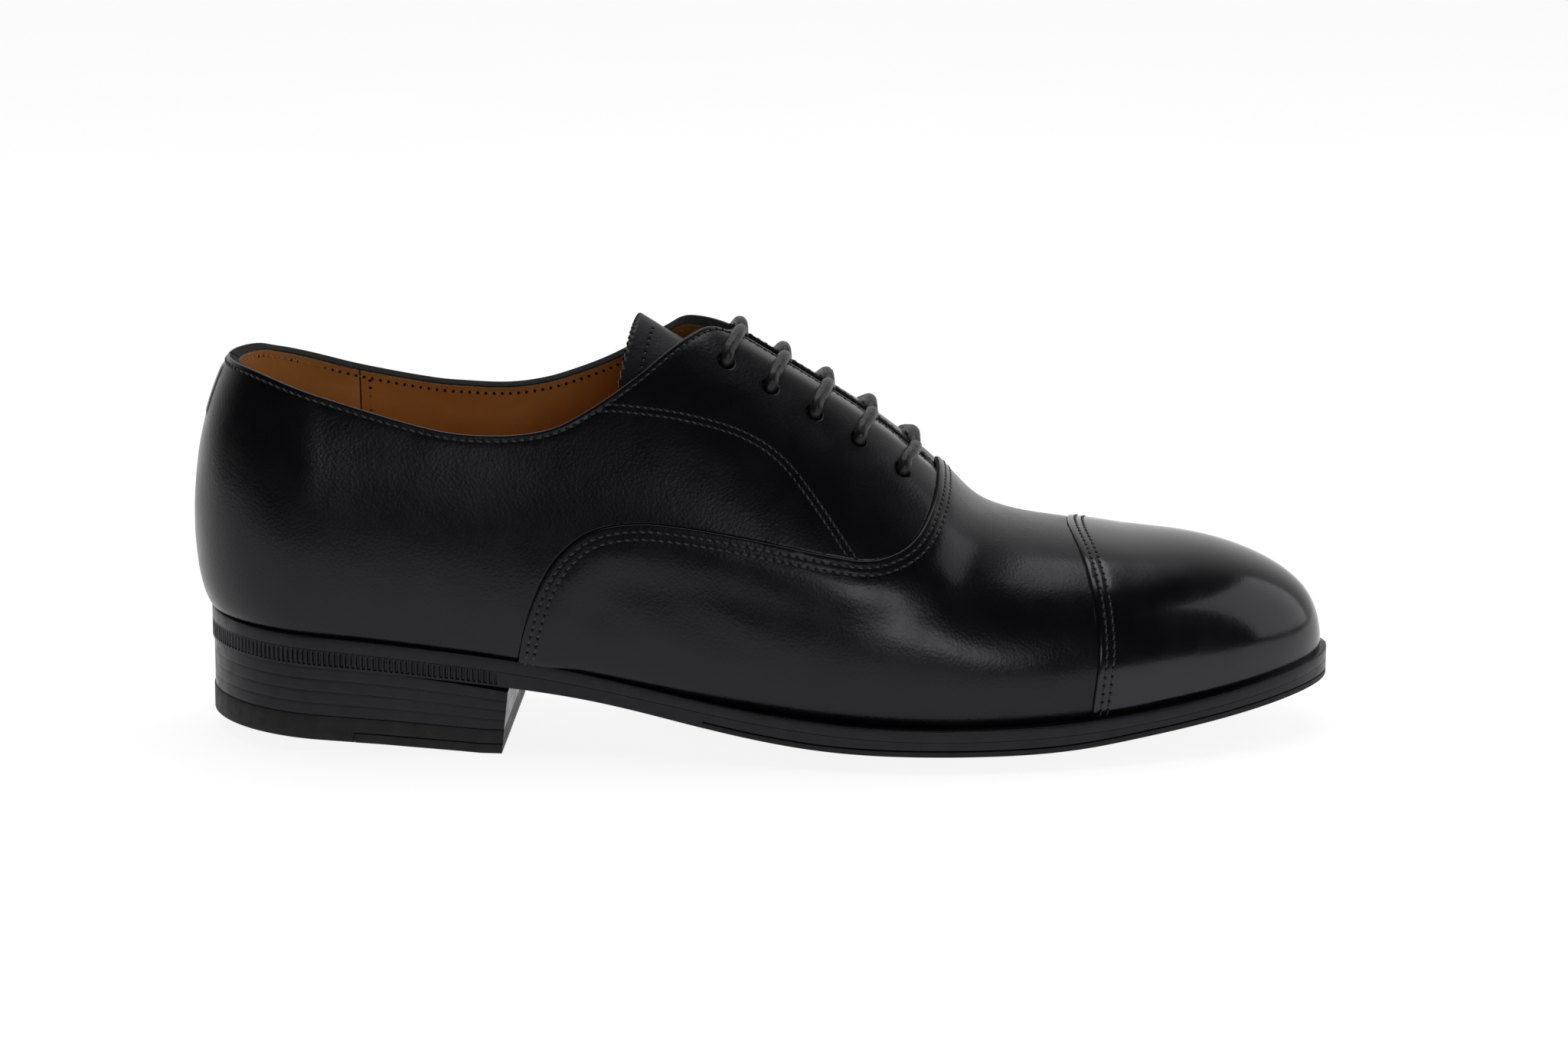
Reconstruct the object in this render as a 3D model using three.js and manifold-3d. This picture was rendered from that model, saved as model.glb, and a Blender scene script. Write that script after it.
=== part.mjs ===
// A right-foot leather cap-toe oxford shoe, EU 43, built as the layers a shoemaker assembles.
// Millimetres. +X runs from heel to toe, +Y to the inner (medial) side, +Z up. The shoe stands on Z = 0.
// All shapes are laid out from the heel (X = 0 at the back of the upper); each finished piece is then
// moved so that the origin is the middle of the footprint.
import * as THREE from 'three';
import { mergeVertices } from 'three/addons/utils/BufferGeometryUtils.js';
import Module from 'manifold-3d';

const wasm = await Module();
wasm.setup();

// ---------------------------------------------------------------- driving dimensions
const LENGTH = 304.7;            // heel of the upper to the tip of the welt
const Y_BALANCE = 0.15;          // footprint centre, measured from the heel's centre line
const GAP = 0.3;                 // clearance between neighbouring pieces
const OUTER = [0, -1.2];         // upper leather: outer and inner face, along the surface normal
const MIDDLE = [-1.5, -2.6];     // stiffeners between upper leather and lining
const LINING = [-2.9, -3.7];     // lining leather
const RAISED = 1.3;              // height of an overlapping edge above the leather beneath
const UNDERLAP = 8;              // how far a piece runs on beneath the next one
const BAND = 12;                 // width of the overlapping band
const WELT_TOP = -0.3;           // sole layers, measured from the feather line of the upper
const WELT_BOTTOM = -2.8;
const INSOLE = [1.8, -0.6];
const SOCK = [3.1, 2.1];
const CORK = [-0.9, -2.8];
const SHANK = [-1.3, -2.5];
const SHANK_WIDTH = 15;
const OUTSOLE_TOP = -3.1;
const HALF_SOLE = 1.5;           // rubber half sole thickness
const HALF_SOLE_START = 137;
const HEEL_FRONT = 87.5;         // where the tilted heel face meets the ground
const HEEL_BACK_LIFT = 3.9;      // height of the heel face at the very back
const TOP_PIECE = [7.1, 6.1];    // rubber top piece: thickness at its back and front
const INSERT = 2.5;              // wear plate let into the top piece
const INSERT_START = 45;
const LIFTS = 4;                 // leather lifts in the heel stack
const NAIL_R = 1;
const LACE_R = 1.45;
const LACE_HOLES = 5;
const HOLE_R = 2.25;
const EYELET = [2.1, 2.7];       // inner and outer radius of a blind eyelet
const AGLET = 18;

// ---------------------------------------------------------------- the last: stations and profiles
const HEEL_X = 36;               // centre of the round heel
const FAN = 55;                  // length of station line given to the quarter turn round the heel
const TOE_X = 250;               // start of the round toe
const TOE_R = 53;
const TOE_START = FAN + TOE_X - HEEL_X;
const TOE_END = TOE_START + TOE_R * Math.PI / 2;
const INSTEP_START = FAN + 142 - HEEL_X;   // from here forward the facets are closer together
const WALL_SPLIT = 0.28;         // share of the profile below the widest point
const SIDES = [-1, 1];           // -1 is the outer (lateral) side, +1 the inner (medial) side

const stationOfX = x => FAN + x - HEEL_X;
const radians = degrees => degrees * Math.PI / 180;

// A natural cubic spline through [place, value] knots.
class Profile {
  constructor(knots) {
    this.x = knots.map(knot => knot[0]);
    this.y = knots.map(knot => knot[1]);
    this.m = this.bends();
  }

  bends() {
    const last = this.x.length - 1;
    const upper = [0];
    const right = [0];
    for (let i = 1; i < last; i += 1) {
      const before = this.x[i] - this.x[i - 1];
      const after = this.x[i + 1] - this.x[i];
      const turn = (this.y[i + 1] - this.y[i]) / after - (this.y[i] - this.y[i - 1]) / before;
      const pivot = 2 * (before + after) - before * upper[i - 1];
      upper.push(after / pivot);
      right.push((6 * turn - before * right[i - 1]) / pivot);
    }
    const m = new Array(last + 1).fill(0);
    for (let i = last - 1; i > 0; i -= 1) m[i] = right[i] - upper[i] * m[i + 1];
    return m;
  }

  at(place) {
    let i = 0;
    while (i < this.x.length - 2 && place > this.x[i + 1]) i += 1;
    const h = this.x[i + 1] - this.x[i];
    const a = (this.x[i + 1] - place) / h;
    const b = 1 - a;
    const curve = (a ** 3 - a) * this.m[i] + (b ** 3 - b) * this.m[i + 1];
    return a * this.y[i] + b * this.y[i + 1] + curve * h * h / 6;
  }
}

// Knots: [degrees, value] round the heel, [x, value] along the body, [degrees, value] round the toe.
function along(heel, body, toe) {
  return new Profile([
    ...heel.map(([degrees, value]) => [FAN * degrees / 90, value]),
    ...body.map(([x, value]) => [stationOfX(x), value]),
    ...toe.map(([degrees, value]) => [TOE_START + TOE_R * radians(degrees), value]),
  ]);
}

const SOLE_EDGE = {
  '-1': along([[0, 31.7], [45, 32.6], [90, 33.8]],
    [[60, 34.6], [90, 35.2], [120, 39], [150, 45.8], [175, 50.8], [195, 52.6], [215, 51.6], [235, 48]],
    [[0, 43.8], [30, 32.6], [60, 18], [90, 0]]),
  '1': along([[0, 31.7], [45, 32.4], [90, 33.2]],
    [[60, 32.8], [90, 29.2], [120, 29.8], [150, 36.2], [175, 44], [195, 49.4], [215, 51.4], [235, 49.6]],
    [[0, 45.6], [30, 34], [60, 18.5], [90, 0]]),
};
const FEATHER = {
  '-1': along([[0, 30.5], [45, 30.8], [90, 31.6]],
    [[60, 32.4], [90, 33], [120, 36.4], [150, 42], [175, 46.4], [195, 48], [215, 47], [235, 43.6]],
    [[0, 39.8], [30, 29.8], [60, 16.4], [90, 0]]),
  '1': along([[0, 30.5], [45, 30.6], [90, 31]],
    [[60, 30.4], [90, 27.6], [120, 28.2], [150, 33.2], [175, 40], [195, 45], [215, 47], [235, 45.2]],
    [[0, 41.4], [30, 31], [60, 16.8], [90, 0]]),
};
const WIDEST = {
  '-1': along([[0, 36], [45, 35.6], [90, 35]],
    [[60, 35.6], [90, 37.2], [120, 41], [150, 45.6], [175, 49], [195, 49.8], [215, 48.4], [235, 44.8]],
    [[0, 40.8], [30, 30.2], [60, 16.5], [90, 0]]),
  '1': along([[0, 36], [45, 35.4], [90, 34.6]],
    [[60, 34.4], [90, 34.6], [120, 37], [150, 41], [175, 45.6], [195, 48.6], [215, 48.8], [235, 46.4]],
    [[0, 42.4], [30, 31.4], [60, 17], [90, 0]]),
};
const FEATHER_Z = along([[0, 33], [45, 32], [90, 30.2]],
  [[60, 27.8], [86, 24.6], [110, 20.8], [137, 16.2], [166, 12.6], [192, 11.2], [212, 11.2], [235, 12]],
  [[0, 13.2], [30, 16.6], [60, 20], [90, 21.6]]);
const WIDEST_Z = along([[0, 56], [45, 54], [90, 50]],
  [[60, 46], [90, 40], [120, 34], [150, 29], [175, 25], [195, 22.5], [215, 21.5], [235, 21.5]],
  [[0, 21.8], [30, 22.6], [60, 23.2], [90, 21.6]]);
const RIDGE_Z = along([[0, 120], [45, 122], [90, 124]],
  [[60, 126], [90, 125.5], [115, 121.5], [138.6, 113], [146.3, 108.6], [165.8, 96.6], [183, 85],
    [194, 76], [198.3, 72], [203, 66.8], [208, 62.6], [213, 59.8], [220, 57.4], [232, 55.3], [240, 54.2]],
  [[0, 52.9], [15, 51.8], [30, 49.3], [45, 45], [60, 39.4], [75, 32], [90, 21.6]]);
const SHOULDER = along([[0, 0.02], [45, 0], [90, -0.06]],
  [[60, -0.08], [90, -0.08], [120, -0.08], [150, -0.1], [175, -0.1], [195, -0.04], [215, 0.06], [235, 0.12]],
  [[0, 0.14], [30, 0.14], [60, 0.1], [90, 0.05]]);
const CENTRE_Y = along([[0, 0], [45, 0], [90, 0]],
  [[60, 0], [90, 0], [120, 0], [150, 0], [175, 0], [195, 0.5], [215, 1], [235, 1.8]],
  [[0, 2.6], [30, 4], [60, 5], [90, 5.4]]);
const EDGE_THICKNESS = along([[0, 8.3], [45, 8], [90, 7.7]],
  [[60, 7.3], [86, 6.9], [108, 6.4], [137, 7], [166, 7.4], [192, 6.95], [212, 6.95], [235, 7]],
  [[0, 6.6], [30, 6.6], [60, 7], [90, 7.6]]);
const CROWN = along([[0, 0], [45, 0], [90, 0]],
  [[60, 0], [86, 0.3], [110, 1], [137, 2.4], [166, 3.8], [192, 4.2], [212, 4.2], [235, 3.8]],
  [[0, 3.2], [30, 2], [60, 0.8], [90, 0]]);

// A point at distance r from the centre line, at station s, with the toe reaching `reach` past TOE_X.
function place(side, s, r, z, reach = TOE_R) {
  const turn = Math.min(s / FAN, 1) * Math.PI / 2;
  const toe = Math.min(Math.max(s - TOE_START, 0) / TOE_R, Math.PI / 2);
  let x = HEEL_X + s - FAN;
  if (s < FAN) x = HEEL_X - r * Math.cos(turn);
  if (s > TOE_START) x = TOE_X + reach * Math.sin(toe);
  const y = CENTRE_Y.at(s) + side * r * (s < FAN ? Math.sin(turn) : 1);
  return new THREE.Vector3(x, y, z);
}

// The outer surface of the upper: t = 0 at the feather line, 1 at the ridge.
function last(side, s, t) {
  const [zf, zw, zr] = [FEATHER_Z.at(s), WIDEST_Z.at(s), RIDGE_Z.at(s)];
  const [rf, rw] = [FEATHER[side].at(s), WIDEST[side].at(s)];
  if (t < WALL_SPLIT) {
    const low = t / WALL_SPLIT * Math.PI / 2;
    return place(side, s, rf + (rw - rf) * Math.sin(low), zw - (zw - zf) * Math.cos(low));
  }
  const high = (t - WALL_SPLIT) / (1 - WALL_SPLIT) * Math.PI / 2;
  const r = rw * Math.cos(high) * (1 + SHOULDER.at(s) * Math.sin(high) ** 2);
  return place(side, s, t > 0.9999 ? 0 : r, zw + (zr - zw) * Math.sin(high));
}

// Outward normal. Close to the feather line it keeps the wall's direction, so that inner layers stay apart.
function lastNormal(side, s, t) {
  if (s > TOE_END - 0.01) return new THREE.Vector3(1, 0, 0);
  const level = Math.max(t, 0.1);
  const step = 0.4;
  const before = Math.max(s - step, 0);
  const after = Math.min(s + step, TOE_END);
  const alongS = last(side, after, level).sub(last(side, before, level));
  if (t > 0.9999) return new THREE.Vector3(-alongS.z, 0, alongS.x).normalize();
  const up = last(side, s, Math.min(level + 0.004, 1)).sub(last(side, s, level - 0.004));
  const normal = alongS.cross(up).multiplyScalar(-side);
  if (s < 0.01) normal.y = 0;
  if (t < 0.01) normal.z = 0;
  return normal.normalize();
}

function evenly(from, to, count) {
  return Array.from({ length: count + 1 }, (_, i) => from + (to - from) * i / count);
}

// The flat facets that every piece shares: their stations along the shoe and levels up its sides.
const STATIONS = [
  ...evenly(0, FAN, 6),
  ...evenly(FAN, INSTEP_START, 7).slice(1),
  ...evenly(INSTEP_START, TOE_START, 6).slice(1),
  ...[18, 36, 52, 67, 79, 90].map(degrees => TOE_START + TOE_R * radians(degrees)),
];
const LEVELS = [0, 0.12, 0.28, 0.43, 0.58, 0.72, 0.86, 1];
const ACROSS = evenly(-1, 1, 4);

// The cell of a list that a value falls in, and how far through it.
function cell(list, value) {
  let i = 0;
  while (i < list.length - 2 && value > list[i + 1]) i += 1;
  return [i, (value - list[i]) / (list[i + 1] - list[i])];
}

const cornerCache = new Map();

function corner(side, i, j) {
  const key = `${side},${i},${j}`;
  if (!cornerCache.has(key)) {
    const [s, t] = [STATIONS[i], LEVELS[j]];
    cornerCache.set(key, { point: last(side, s, t), normal: lastNormal(side, s, t) });
  }
  return cornerCache.get(key);
}

// A value blended between the four corners of the facet that holds (s, t).
function onFacet(side, s, t, read) {
  const [i, a] = cell(STATIONS, s);
  const [j, b] = cell(LEVELS, t);
  const edge = k => read(corner(side, k, j)).clone().lerp(read(corner(side, k, j + 1)), b);
  return edge(i).lerp(edge(i + 1), a);
}

const onLast = (side, s, t) => onFacet(side, s, t, found => found.point);
const facetNormal = (side, s, t) => onFacet(side, s, t, found => found.normal).normalize();
const offLast = (side, s, t, offset) => onFacet(side, s, t,
  ({ point, normal }) => point.clone().addScaledVector(normal, offset));

// The profile place t where the surface is r away from the centre line, above the widest point.
function tAtRadius(side, s, r) {
  let low = WALL_SPLIT;
  let high = 1;
  for (let i = 0; i < 30; i += 1) {
    const middle = (low + high) / 2;
    const found = Math.abs(onLast(side, s, middle).y - CENTRE_Y.at(s));
    if (found > r) low = middle;
    else high = middle;
  }
  return low;
}

// ---------------------------------------------------------------- meshes and solids
function stationsBetween(from, to) {
  return [from, ...STATIONS.filter(s => s > from + 1.5 && s < to - 1.5), to];
}

// Triangles of a closed body, kept only where they have an area, as a manifold solid.
function toSolid(points, faces) {
  const raw = new THREE.BufferGeometry();
  raw.setAttribute('position', new THREE.Float32BufferAttribute(points.flatMap(p => [p.x, p.y, p.z]), 3));
  raw.setIndex(faces.flat());
  return geometrySolid(raw);
}

function geometrySolid(geometry, tolerance = 1e-4) {
  const bare = geometry.clone();
  bare.deleteAttribute('normal');
  bare.deleteAttribute('uv');
  const merged = mergeVertices(bare, tolerance);
  const index = Array.from(merged.index.array);
  const kept = [];
  for (let i = 0; i < index.length; i += 3) {
    const [a, b, c] = index.slice(i, i + 3);
    if (a !== b && b !== c && c !== a) kept.push(a, b, c);
  }
  const vertProperties = new Float32Array(merged.attributes.position.array);
  const build = triVerts => new wasm.Manifold(new wasm.Mesh({ numProp: 3, vertProperties, triVerts }));
  const solid = build(Uint32Array.from(kept));
  if (solid.volume() > 0) return solid;
  const turned = [];
  for (let i = 0; i < kept.length; i += 3) turned.push(kept[i], kept[i + 2], kept[i + 1]);
  return build(Uint32Array.from(turned));
}

// A closed body between two grids of points: both faces, and walls along the borders that are asked for.
function between(top, bottom, walls = { start: true, end: true }) {
  const rows = top.length;
  const columns = top[0].length;
  const points = [...top.flat(), ...bottom.flat()];
  const upper = (i, j) => i * columns + j;
  const lower = (i, j) => rows * columns + i * columns + j;
  const faces = [];
  const quad = (a, b, c, d) => faces.push([a, b, c], [a, c, d]);
  for (let i = 0; i < rows - 1; i += 1) {
    for (let j = 0; j < columns - 1; j += 1) {
      quad(upper(i, j), upper(i + 1, j), upper(i + 1, j + 1), upper(i, j + 1));
      quad(lower(i, j), lower(i, j + 1), lower(i + 1, j + 1), lower(i + 1, j));
    }
    quad(upper(i, 0), lower(i, 0), lower(i + 1, 0), upper(i + 1, 0));
    const edge = columns - 1;
    quad(upper(i + 1, edge), lower(i + 1, edge), lower(i, edge), upper(i, edge));
  }
  for (let j = 0; j < columns - 1; j += 1) {
    const end = rows - 1;
    if (walls.start) quad(upper(0, j + 1), lower(0, j + 1), lower(0, j), upper(0, j));
    if (walls.end) quad(upper(end, j), lower(end, j), lower(end, j + 1), upper(end, j + 1));
  }
  return toSolid(points, faces);
}

// Leather on the last. Each place is [side, s, t]; rows run along the shoe, columns across it.
function leather(places, [outer, inner]) {
  const face = offset => places.map(row => row.map(([side, s, t]) => offLast(side, s, t, offset)));
  return between(face(outer), face(inner));
}

// Every sheet splits its facets along the same diagonals, so the inner side runs from the ridge down.
const DOWNWARD = [...LEVELS].reverse();

function oneSide(side, from, to, layer) {
  const levels = side < 0 ? LEVELS : DOWNWARD;
  return leather(stationsBetween(from, to).map(s => levels.map(t => [side, s, t])), layer);
}

function overRidge(from, to, layer) {
  const up = LEVELS.map(t => [-1, t]);
  const down = DOWNWARD.slice(1).map(t => [1, t]);
  const rows = stationsBetween(from, to).map(s => [...up, ...down].map(([side, t]) => [side, s, t]));
  return leather(rows, layer);
}

function roundBack(reach, layer) {
  const steps = stationsBetween(0, reach);
  const places = [...steps.slice(1).reverse().map(s => [-1, s]), ...steps.map(s => [1, s])];
  return leather(places.map(([side, s]) => DOWNWARD.map(t => [side, s, t])), layer);
}

// A level plate of the sole unit. `top` and `bottom` give heights from station, fraction across and x.
function plate({ outline, grow = 0, reach = TOE_R, from = 0, to = TOE_END, top, bottom }) {
  const point = (s, v, height) => {
    const side = v < 0 ? -1 : 1;
    const edge = outline[side].at(s);
    const atToe = outline[side].at(TOE_START);
    const r = Math.abs(v) * Math.max(s > TOE_START ? edge * (1 + grow / atToe) : edge + grow, 0);
    const spot = place(side, s, r, 0, reach + grow);
    const share = Math.abs(v) * (edge + Math.min(grow, 0)) / Math.max(SOLE_EDGE[side].at(s), 1);
    spot.z = height(s, Math.min(share, 1), spot.x);
    return spot;
  };
  const onRow = (s, v, height) => {
    const [i, share] = cell(STATIONS, s);
    return point(STATIONS[i], v, height).lerp(point(STATIONS[i + 1], v, height), share);
  };
  const steps = stationsBetween(from, to);
  const grid = height => steps.map(s => ACROSS.map(v => onRow(s, v, height)));
  return between(grid(top), grid(bottom), { start: from > 0, end: to < TOE_END });
}

const soleLevel = level => (s, share) => FEATHER_Z.at(s) + level - CROWN.at(s) * (1 - share * share);
const soleBottom = (s, share) => soleLevel(-EDGE_THICKNESS.at(s))(s, share);

// A prism from a flat outline: seen from the side (x, z) or from above (x, y).
function prism(outline, view, from, to) {
  const shape = new THREE.Shape(outline.map(([x, y]) => new THREE.Vector2(x, y)));
  const geometry = new THREE.ExtrudeGeometry(shape, { depth: to - from, bevelEnabled: false });
  if (view === 'side') {
    geometry.rotateX(Math.PI / 2);
    geometry.translate(0, to, 0);
  } else {
    geometry.translate(0, 0, from);
  }
  return geometrySolid(geometry);
}

const sidePrism = outline => prism(outline, 'side', -80, 80);
const halfSpace = side => sidePrism([[-20, -20], [330, -20], [330, 150], [-20, 150]])
  .translate([0, side * (80 + GAP / 2), 0]);

function smooth(points, samples = 20) {
  const curve = new THREE.SplineCurve(points.map(([x, y]) => new THREE.Vector2(x, y)));
  return curve.getPoints(samples).map(p => [p.x, p.y]);
}

// The same line moved sideways; a positive distance moves it to the right of its direction.
function shifted(line, distance) {
  return line.map(([x, y], i) => {
    const [ax, ay] = line[Math.max(i - 1, 0)];
    const [bx, by] = line[Math.min(i + 1, line.length - 1)];
    const size = Math.hypot(bx - ax, by - ay);
    return [x + (by - ay) / size * distance, y - (bx - ax) / size * distance];
  });
}

// The largest body of a solid, so that slivers left by a cut are dropped.
function largest(solid) {
  const bodies = solid.decompose();
  return bodies.sort((a, b) => b.volume() - a.volume())[0];
}

function cylinder(radius, length, start, direction, sides = 10) {
  const geometry = new THREE.CylinderGeometry(radius, radius, length, sides);
  geometry.translate(0, length / 2, 0);
  const turn = new THREE.Quaternion().setFromUnitVectors(new THREE.Vector3(0, 1, 0), direction);
  geometry.applyQuaternion(turn);
  geometry.translate(start.x, start.y, start.z);
  return geometry;
}

// ---------------------------------------------------------------- seams, seen from the side
const VAMP_SEAM = smooth([[87.5, 20], [89.9, 33], [93.9, 45], [99, 53.5], [107, 60], [118, 62.6],
  [131, 62.1], [150, 59.2], [169, 55.6], [181, 54.3], [190.7, 57.8], [196.7, 65.9], [199.7, 75]]);
const CAP_SEAM = smooth([[238, 10], [239.7, 25.6], [239.6, 36], [238.2, 45.3], [235.7, 52.4], [231.5, 58]], 12);
const TOPLINE = {
  '-1': smooth([[-3, 100.6], [10, 100.5], [20.7, 98.9], [36, 94.1], [57.7, 87.9], [72, 84.9], [86.6, 84.6],
    [98, 86.7], [108.5, 92.2], [118.3, 98.8], [127.3, 105.6], [134, 109.4], [138.8, 110.4], [143, 109.3]]),
  '1': smooth([[-3, 100.6], [13.6, 100.5], [21.2, 98], [40.1, 92], [60.7, 88], [71.3, 87.2], [81.6, 87],
    [90.1, 88.1], [98.4, 90.6], [111, 96.1], [124.8, 104.9], [130, 108.4], [134.5, 109], [143, 107.8]]),
};
const STAY_EDGE = smooth([[108, 91.5], [116, 91.4], [131.4, 89.4], [146.4, 85.1], [157, 78.5], [166, 68],
  [176, 54]], 12);

// The side view of a quarter: below the topline and behind the vamp seam, plus what runs on beneath it.
function quarterOutline(side, underlap, lower = 0) {
  const topline = TOPLINE[side].map(([x, z]) => [x, z - lower]);
  const hidden = shifted(VAMP_SEAM, underlap).reverse();
  const [lowestX] = hidden.at(-1);
  return [[-20, 0], [-20, 100.6 - lower], ...topline, [147, 130], [214, 130], ...hidden, [lowestX, 0]];
}

const vampOutline = () => [...VAMP_SEAM, [199.7, 130], [330, 130], [330, -10], [86, -10]];
const vampBand = () => [...VAMP_SEAM, ...shifted(VAMP_SEAM, BAND).reverse()];
const capOutline = () => [...CAP_SEAM, [231.5, 90], [330, 90], [330, -10], [238, -10]];
const capBand = () => [...CAP_SEAM, ...shifted(CAP_SEAM, BAND).reverse()];

// The gap between the two facings, seen from above.
const facingGap = () => prism([[90, -5.4], [196, -2.6], [198.6, 0], [196, 2.6], [90, 5.4]], 'top', 0, 150);

// ---------------------------------------------------------------- lace holes
const laceHole = (side, row) => {
  const s = stationOfX(142.4 + 11.6 * row);
  return { side, s, t: tAtRadius(side, s, 18.6 + 0.8 * row) };
};
const holeRows = evenly(0, LACE_HOLES - 1, LACE_HOLES - 1);

function holeCutter(side, row, radius, layer) {
  const { s, t } = laceHole(side, row);
  const normal = facetNormal(side, s, t);
  const start = onLast(side, s, t).addScaledVector(normal, layer[1] - 1);
  const geometry = cylinder(radius, layer[0] - layer[1] + 2, start, normal, 8);
  return geometrySolid(geometry);
}

function punched(solid, side, radius, layer) {
  return holeRows.reduce((rest, row) => rest.subtract(holeCutter(side, row, radius, layer)), solid);
}

// ---------------------------------------------------------------- upper leather
function quarterSheet(side, layer, underlap, lower) {
  const whole = oneSide(side, 0, stationOfX(213), layer);
  return whole.intersect(sidePrism(quarterOutline(side, underlap, lower))).intersect(halfSpace(side));
}

function quarter(side) {
  const sheet = quarterSheet(side, OUTER, UNDERLAP, 0).subtract(facingGap());
  return punched(sheet, side, HOLE_R, OUTER);
}

// A cutter carried on a little below its lower edge, so that it cuts right through the leather there.
const deepened = solid => solid.add(solid.translate([0, 0, -2 * GAP]));

// What the vamp must stay clear of: both quarters, swollen by the gap.
function quarterRoom() {
  const layer = [OUTER[0] + GAP, OUTER[1] - GAP];
  const outline = side => quarterOutline(side, UNDERLAP + 1.5 * GAP, -40);
  const rooms = SIDES.map(side => {
    return oneSide(side, 0, stationOfX(213), layer).intersect(sidePrism(outline(side)));
  });
  return deepened(rooms[0].add(rooms[1]));
}

function vamp() {
  const from = stationOfX(84);
  const to = stationOfX(253);
  const sheet = overRidge(from, to, OUTER);
  const band = overRidge(from, to, [RAISED, -0.6]).intersect(sidePrism(vampBand()));
  const front = [...shifted(CAP_SEAM, UNDERLAP), [231.5 + UNDERLAP, 90], [80, 90], [80, -10], [246, -10]];
  return sheet.intersect(sidePrism(vampOutline())).add(band)
    .intersect(sidePrism(front)).subtract(quarterRoom());
}

function vampRoom() {
  const reach = UNDERLAP + 1.5 * GAP;
  const front = [...shifted(CAP_SEAM, reach), [231.5 + reach, 90], [190, 90], [190, -10], [238 + reach, -10]];
  const sheet = overRidge(stationOfX(200), stationOfX(256), [GAP, OUTER[1] - GAP]);
  return deepened(sheet.intersect(sidePrism(front)));
}

function toeCap() {
  const sheet = overRidge(stationOfX(226), TOE_END, OUTER).intersect(sidePrism(capOutline()));
  const band = overRidge(stationOfX(226), stationOfX(256), [RAISED, -0.6]).intersect(sidePrism(capBand()));
  return sheet.add(band).subtract(vampRoom());
}

function heelTab() {
  const outline = [[-20, 85], [-20, 99.8], [30, 98.6], [30, 85]];
  const tab = roundBack(14, [RAISED, GAP]).intersect(sidePrism(outline));
  return tab;
}

// ---------------------------------------------------------------- stiffeners and linings
function heelCounter() {
  const top = smooth([[-20, 76], [20, 75], [50, 66], [80, 52], [104, 34]], 10);
  return roundBack(stationOfX(104), MIDDLE).intersect(sidePrism([...top, [104, 0], [-20, 0]]));
}

function toePuff() {
  return overRidge(stationOfX(244), TOE_END, MIDDLE);
}

function facingStay(side) {
  const topline = TOPLINE[side].filter(([x]) => x > 109).reverse();
  const outline = [...STAY_EDGE, [199, 54], [199, 130], [147, 130], ...topline];
  const sheet = oneSide(side, stationOfX(100), stationOfX(200), MIDDLE).intersect(sidePrism(outline));
  const trimmed = sheet.intersect(halfSpace(side)).subtract(facingGap());
  return punched(trimmed, side, EYELET[1] + GAP, MIDDLE);
}

const GRIP_END = 61;             // station where the heel grip meets the quarter lining
const liningSplit = gap => [[150 + gap, -10], [203 + gap, 70], [203 + gap, 130]];

function quarterLining(side) {
  const outline = [[-20, -10], [-20, 130], ...liningSplit(0).reverse()];
  const sheet = quarterSheet(side, LINING, 12, 0.4).intersect(sidePrism(outline));
  const grip = roundBack(GRIP_END + 0.4, [LINING[0] + 1, LINING[1] - 1]);
  return punched(sheet.subtract(facingGap()).subtract(grip), side, HOLE_R, LINING);
}

function heelGrip() {
  const outline = side => [[-20, 0], [-20, 100.2], ...TOPLINE[side].map(([x, z]) => [x, z - 0.4]), [147, 0]];
  const sheet = roundBack(GRIP_END, LINING);
  const halves = SIDES.map(side => {
    const half = sidePrism([[-20, -20], [330, -20], [330, 150], [-20, 150]]).translate([0, side * 80, 0]);
    return sheet.intersect(half).intersect(sidePrism(outline(side)));
  });
  return halves[0].add(halves[1]);
}

function vampLining() {
  const outline = [...liningSplit(0.5), [330, 130], [330, -10]];
  return overRidge(stationOfX(140), TOE_END, LINING).intersect(sidePrism(outline));
}

// ---------------------------------------------------------------- tongue
const TONGUE_RIDGE = new Profile([[112, 115.2], [118.9, 111.4], [130.7, 104.7], [150, 93.2], [170, 80.8],
  [190, 68.2], [207, 57.6]]);
const TONGUE_HALF = new Profile([[112, 19], [150, 21], [180, 21], [207, 18.5]]);
// From its ridge the tongue falls away as the square of y over this length.
const TONGUE_FALL = new Profile([[112, 19.5], [119, 20], [150, 24], [207, 32]]);

function tonguePoint(u, v, depth) {
  const start = 118.9 - 5 * Math.abs(v) ** 1.5;
  const x = start + (206 - start) * u;
  const y = TONGUE_HALF.at(x) * v;
  const slope = (TONGUE_RIDGE.at(x + 1) - TONGUE_RIDGE.at(x - 1)) / 2;
  const normal = new THREE.Vector3(-slope, 2 * y / TONGUE_FALL.at(x), 1).normalize();
  const point = new THREE.Vector3(x, y, TONGUE_RIDGE.at(x) - y * y / TONGUE_FALL.at(x));
  return point.addScaledVector(normal, -depth);
}

function tongueLayer(from, to) {
  const grid = depth => evenly(0, 1, 9).map(u => evenly(-1, 1, 8).map(v => tonguePoint(u, v, depth)));
  return between(grid(from), grid(to));
}

// ---------------------------------------------------------------- lace
const UNDER = LINING[1] - 1.5 * GAP - LACE_R;     // depth of the lace beneath the facings
const OVER = OUTER[0] + 2 * GAP + LACE_R;        // height of a bar above the facings

function beneath(side, x, r, deeper = 0) {
  const s = stationOfX(x);
  return offLast(side, s, tAtRadius(side, s, r), UNDER - deeper);
}

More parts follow.
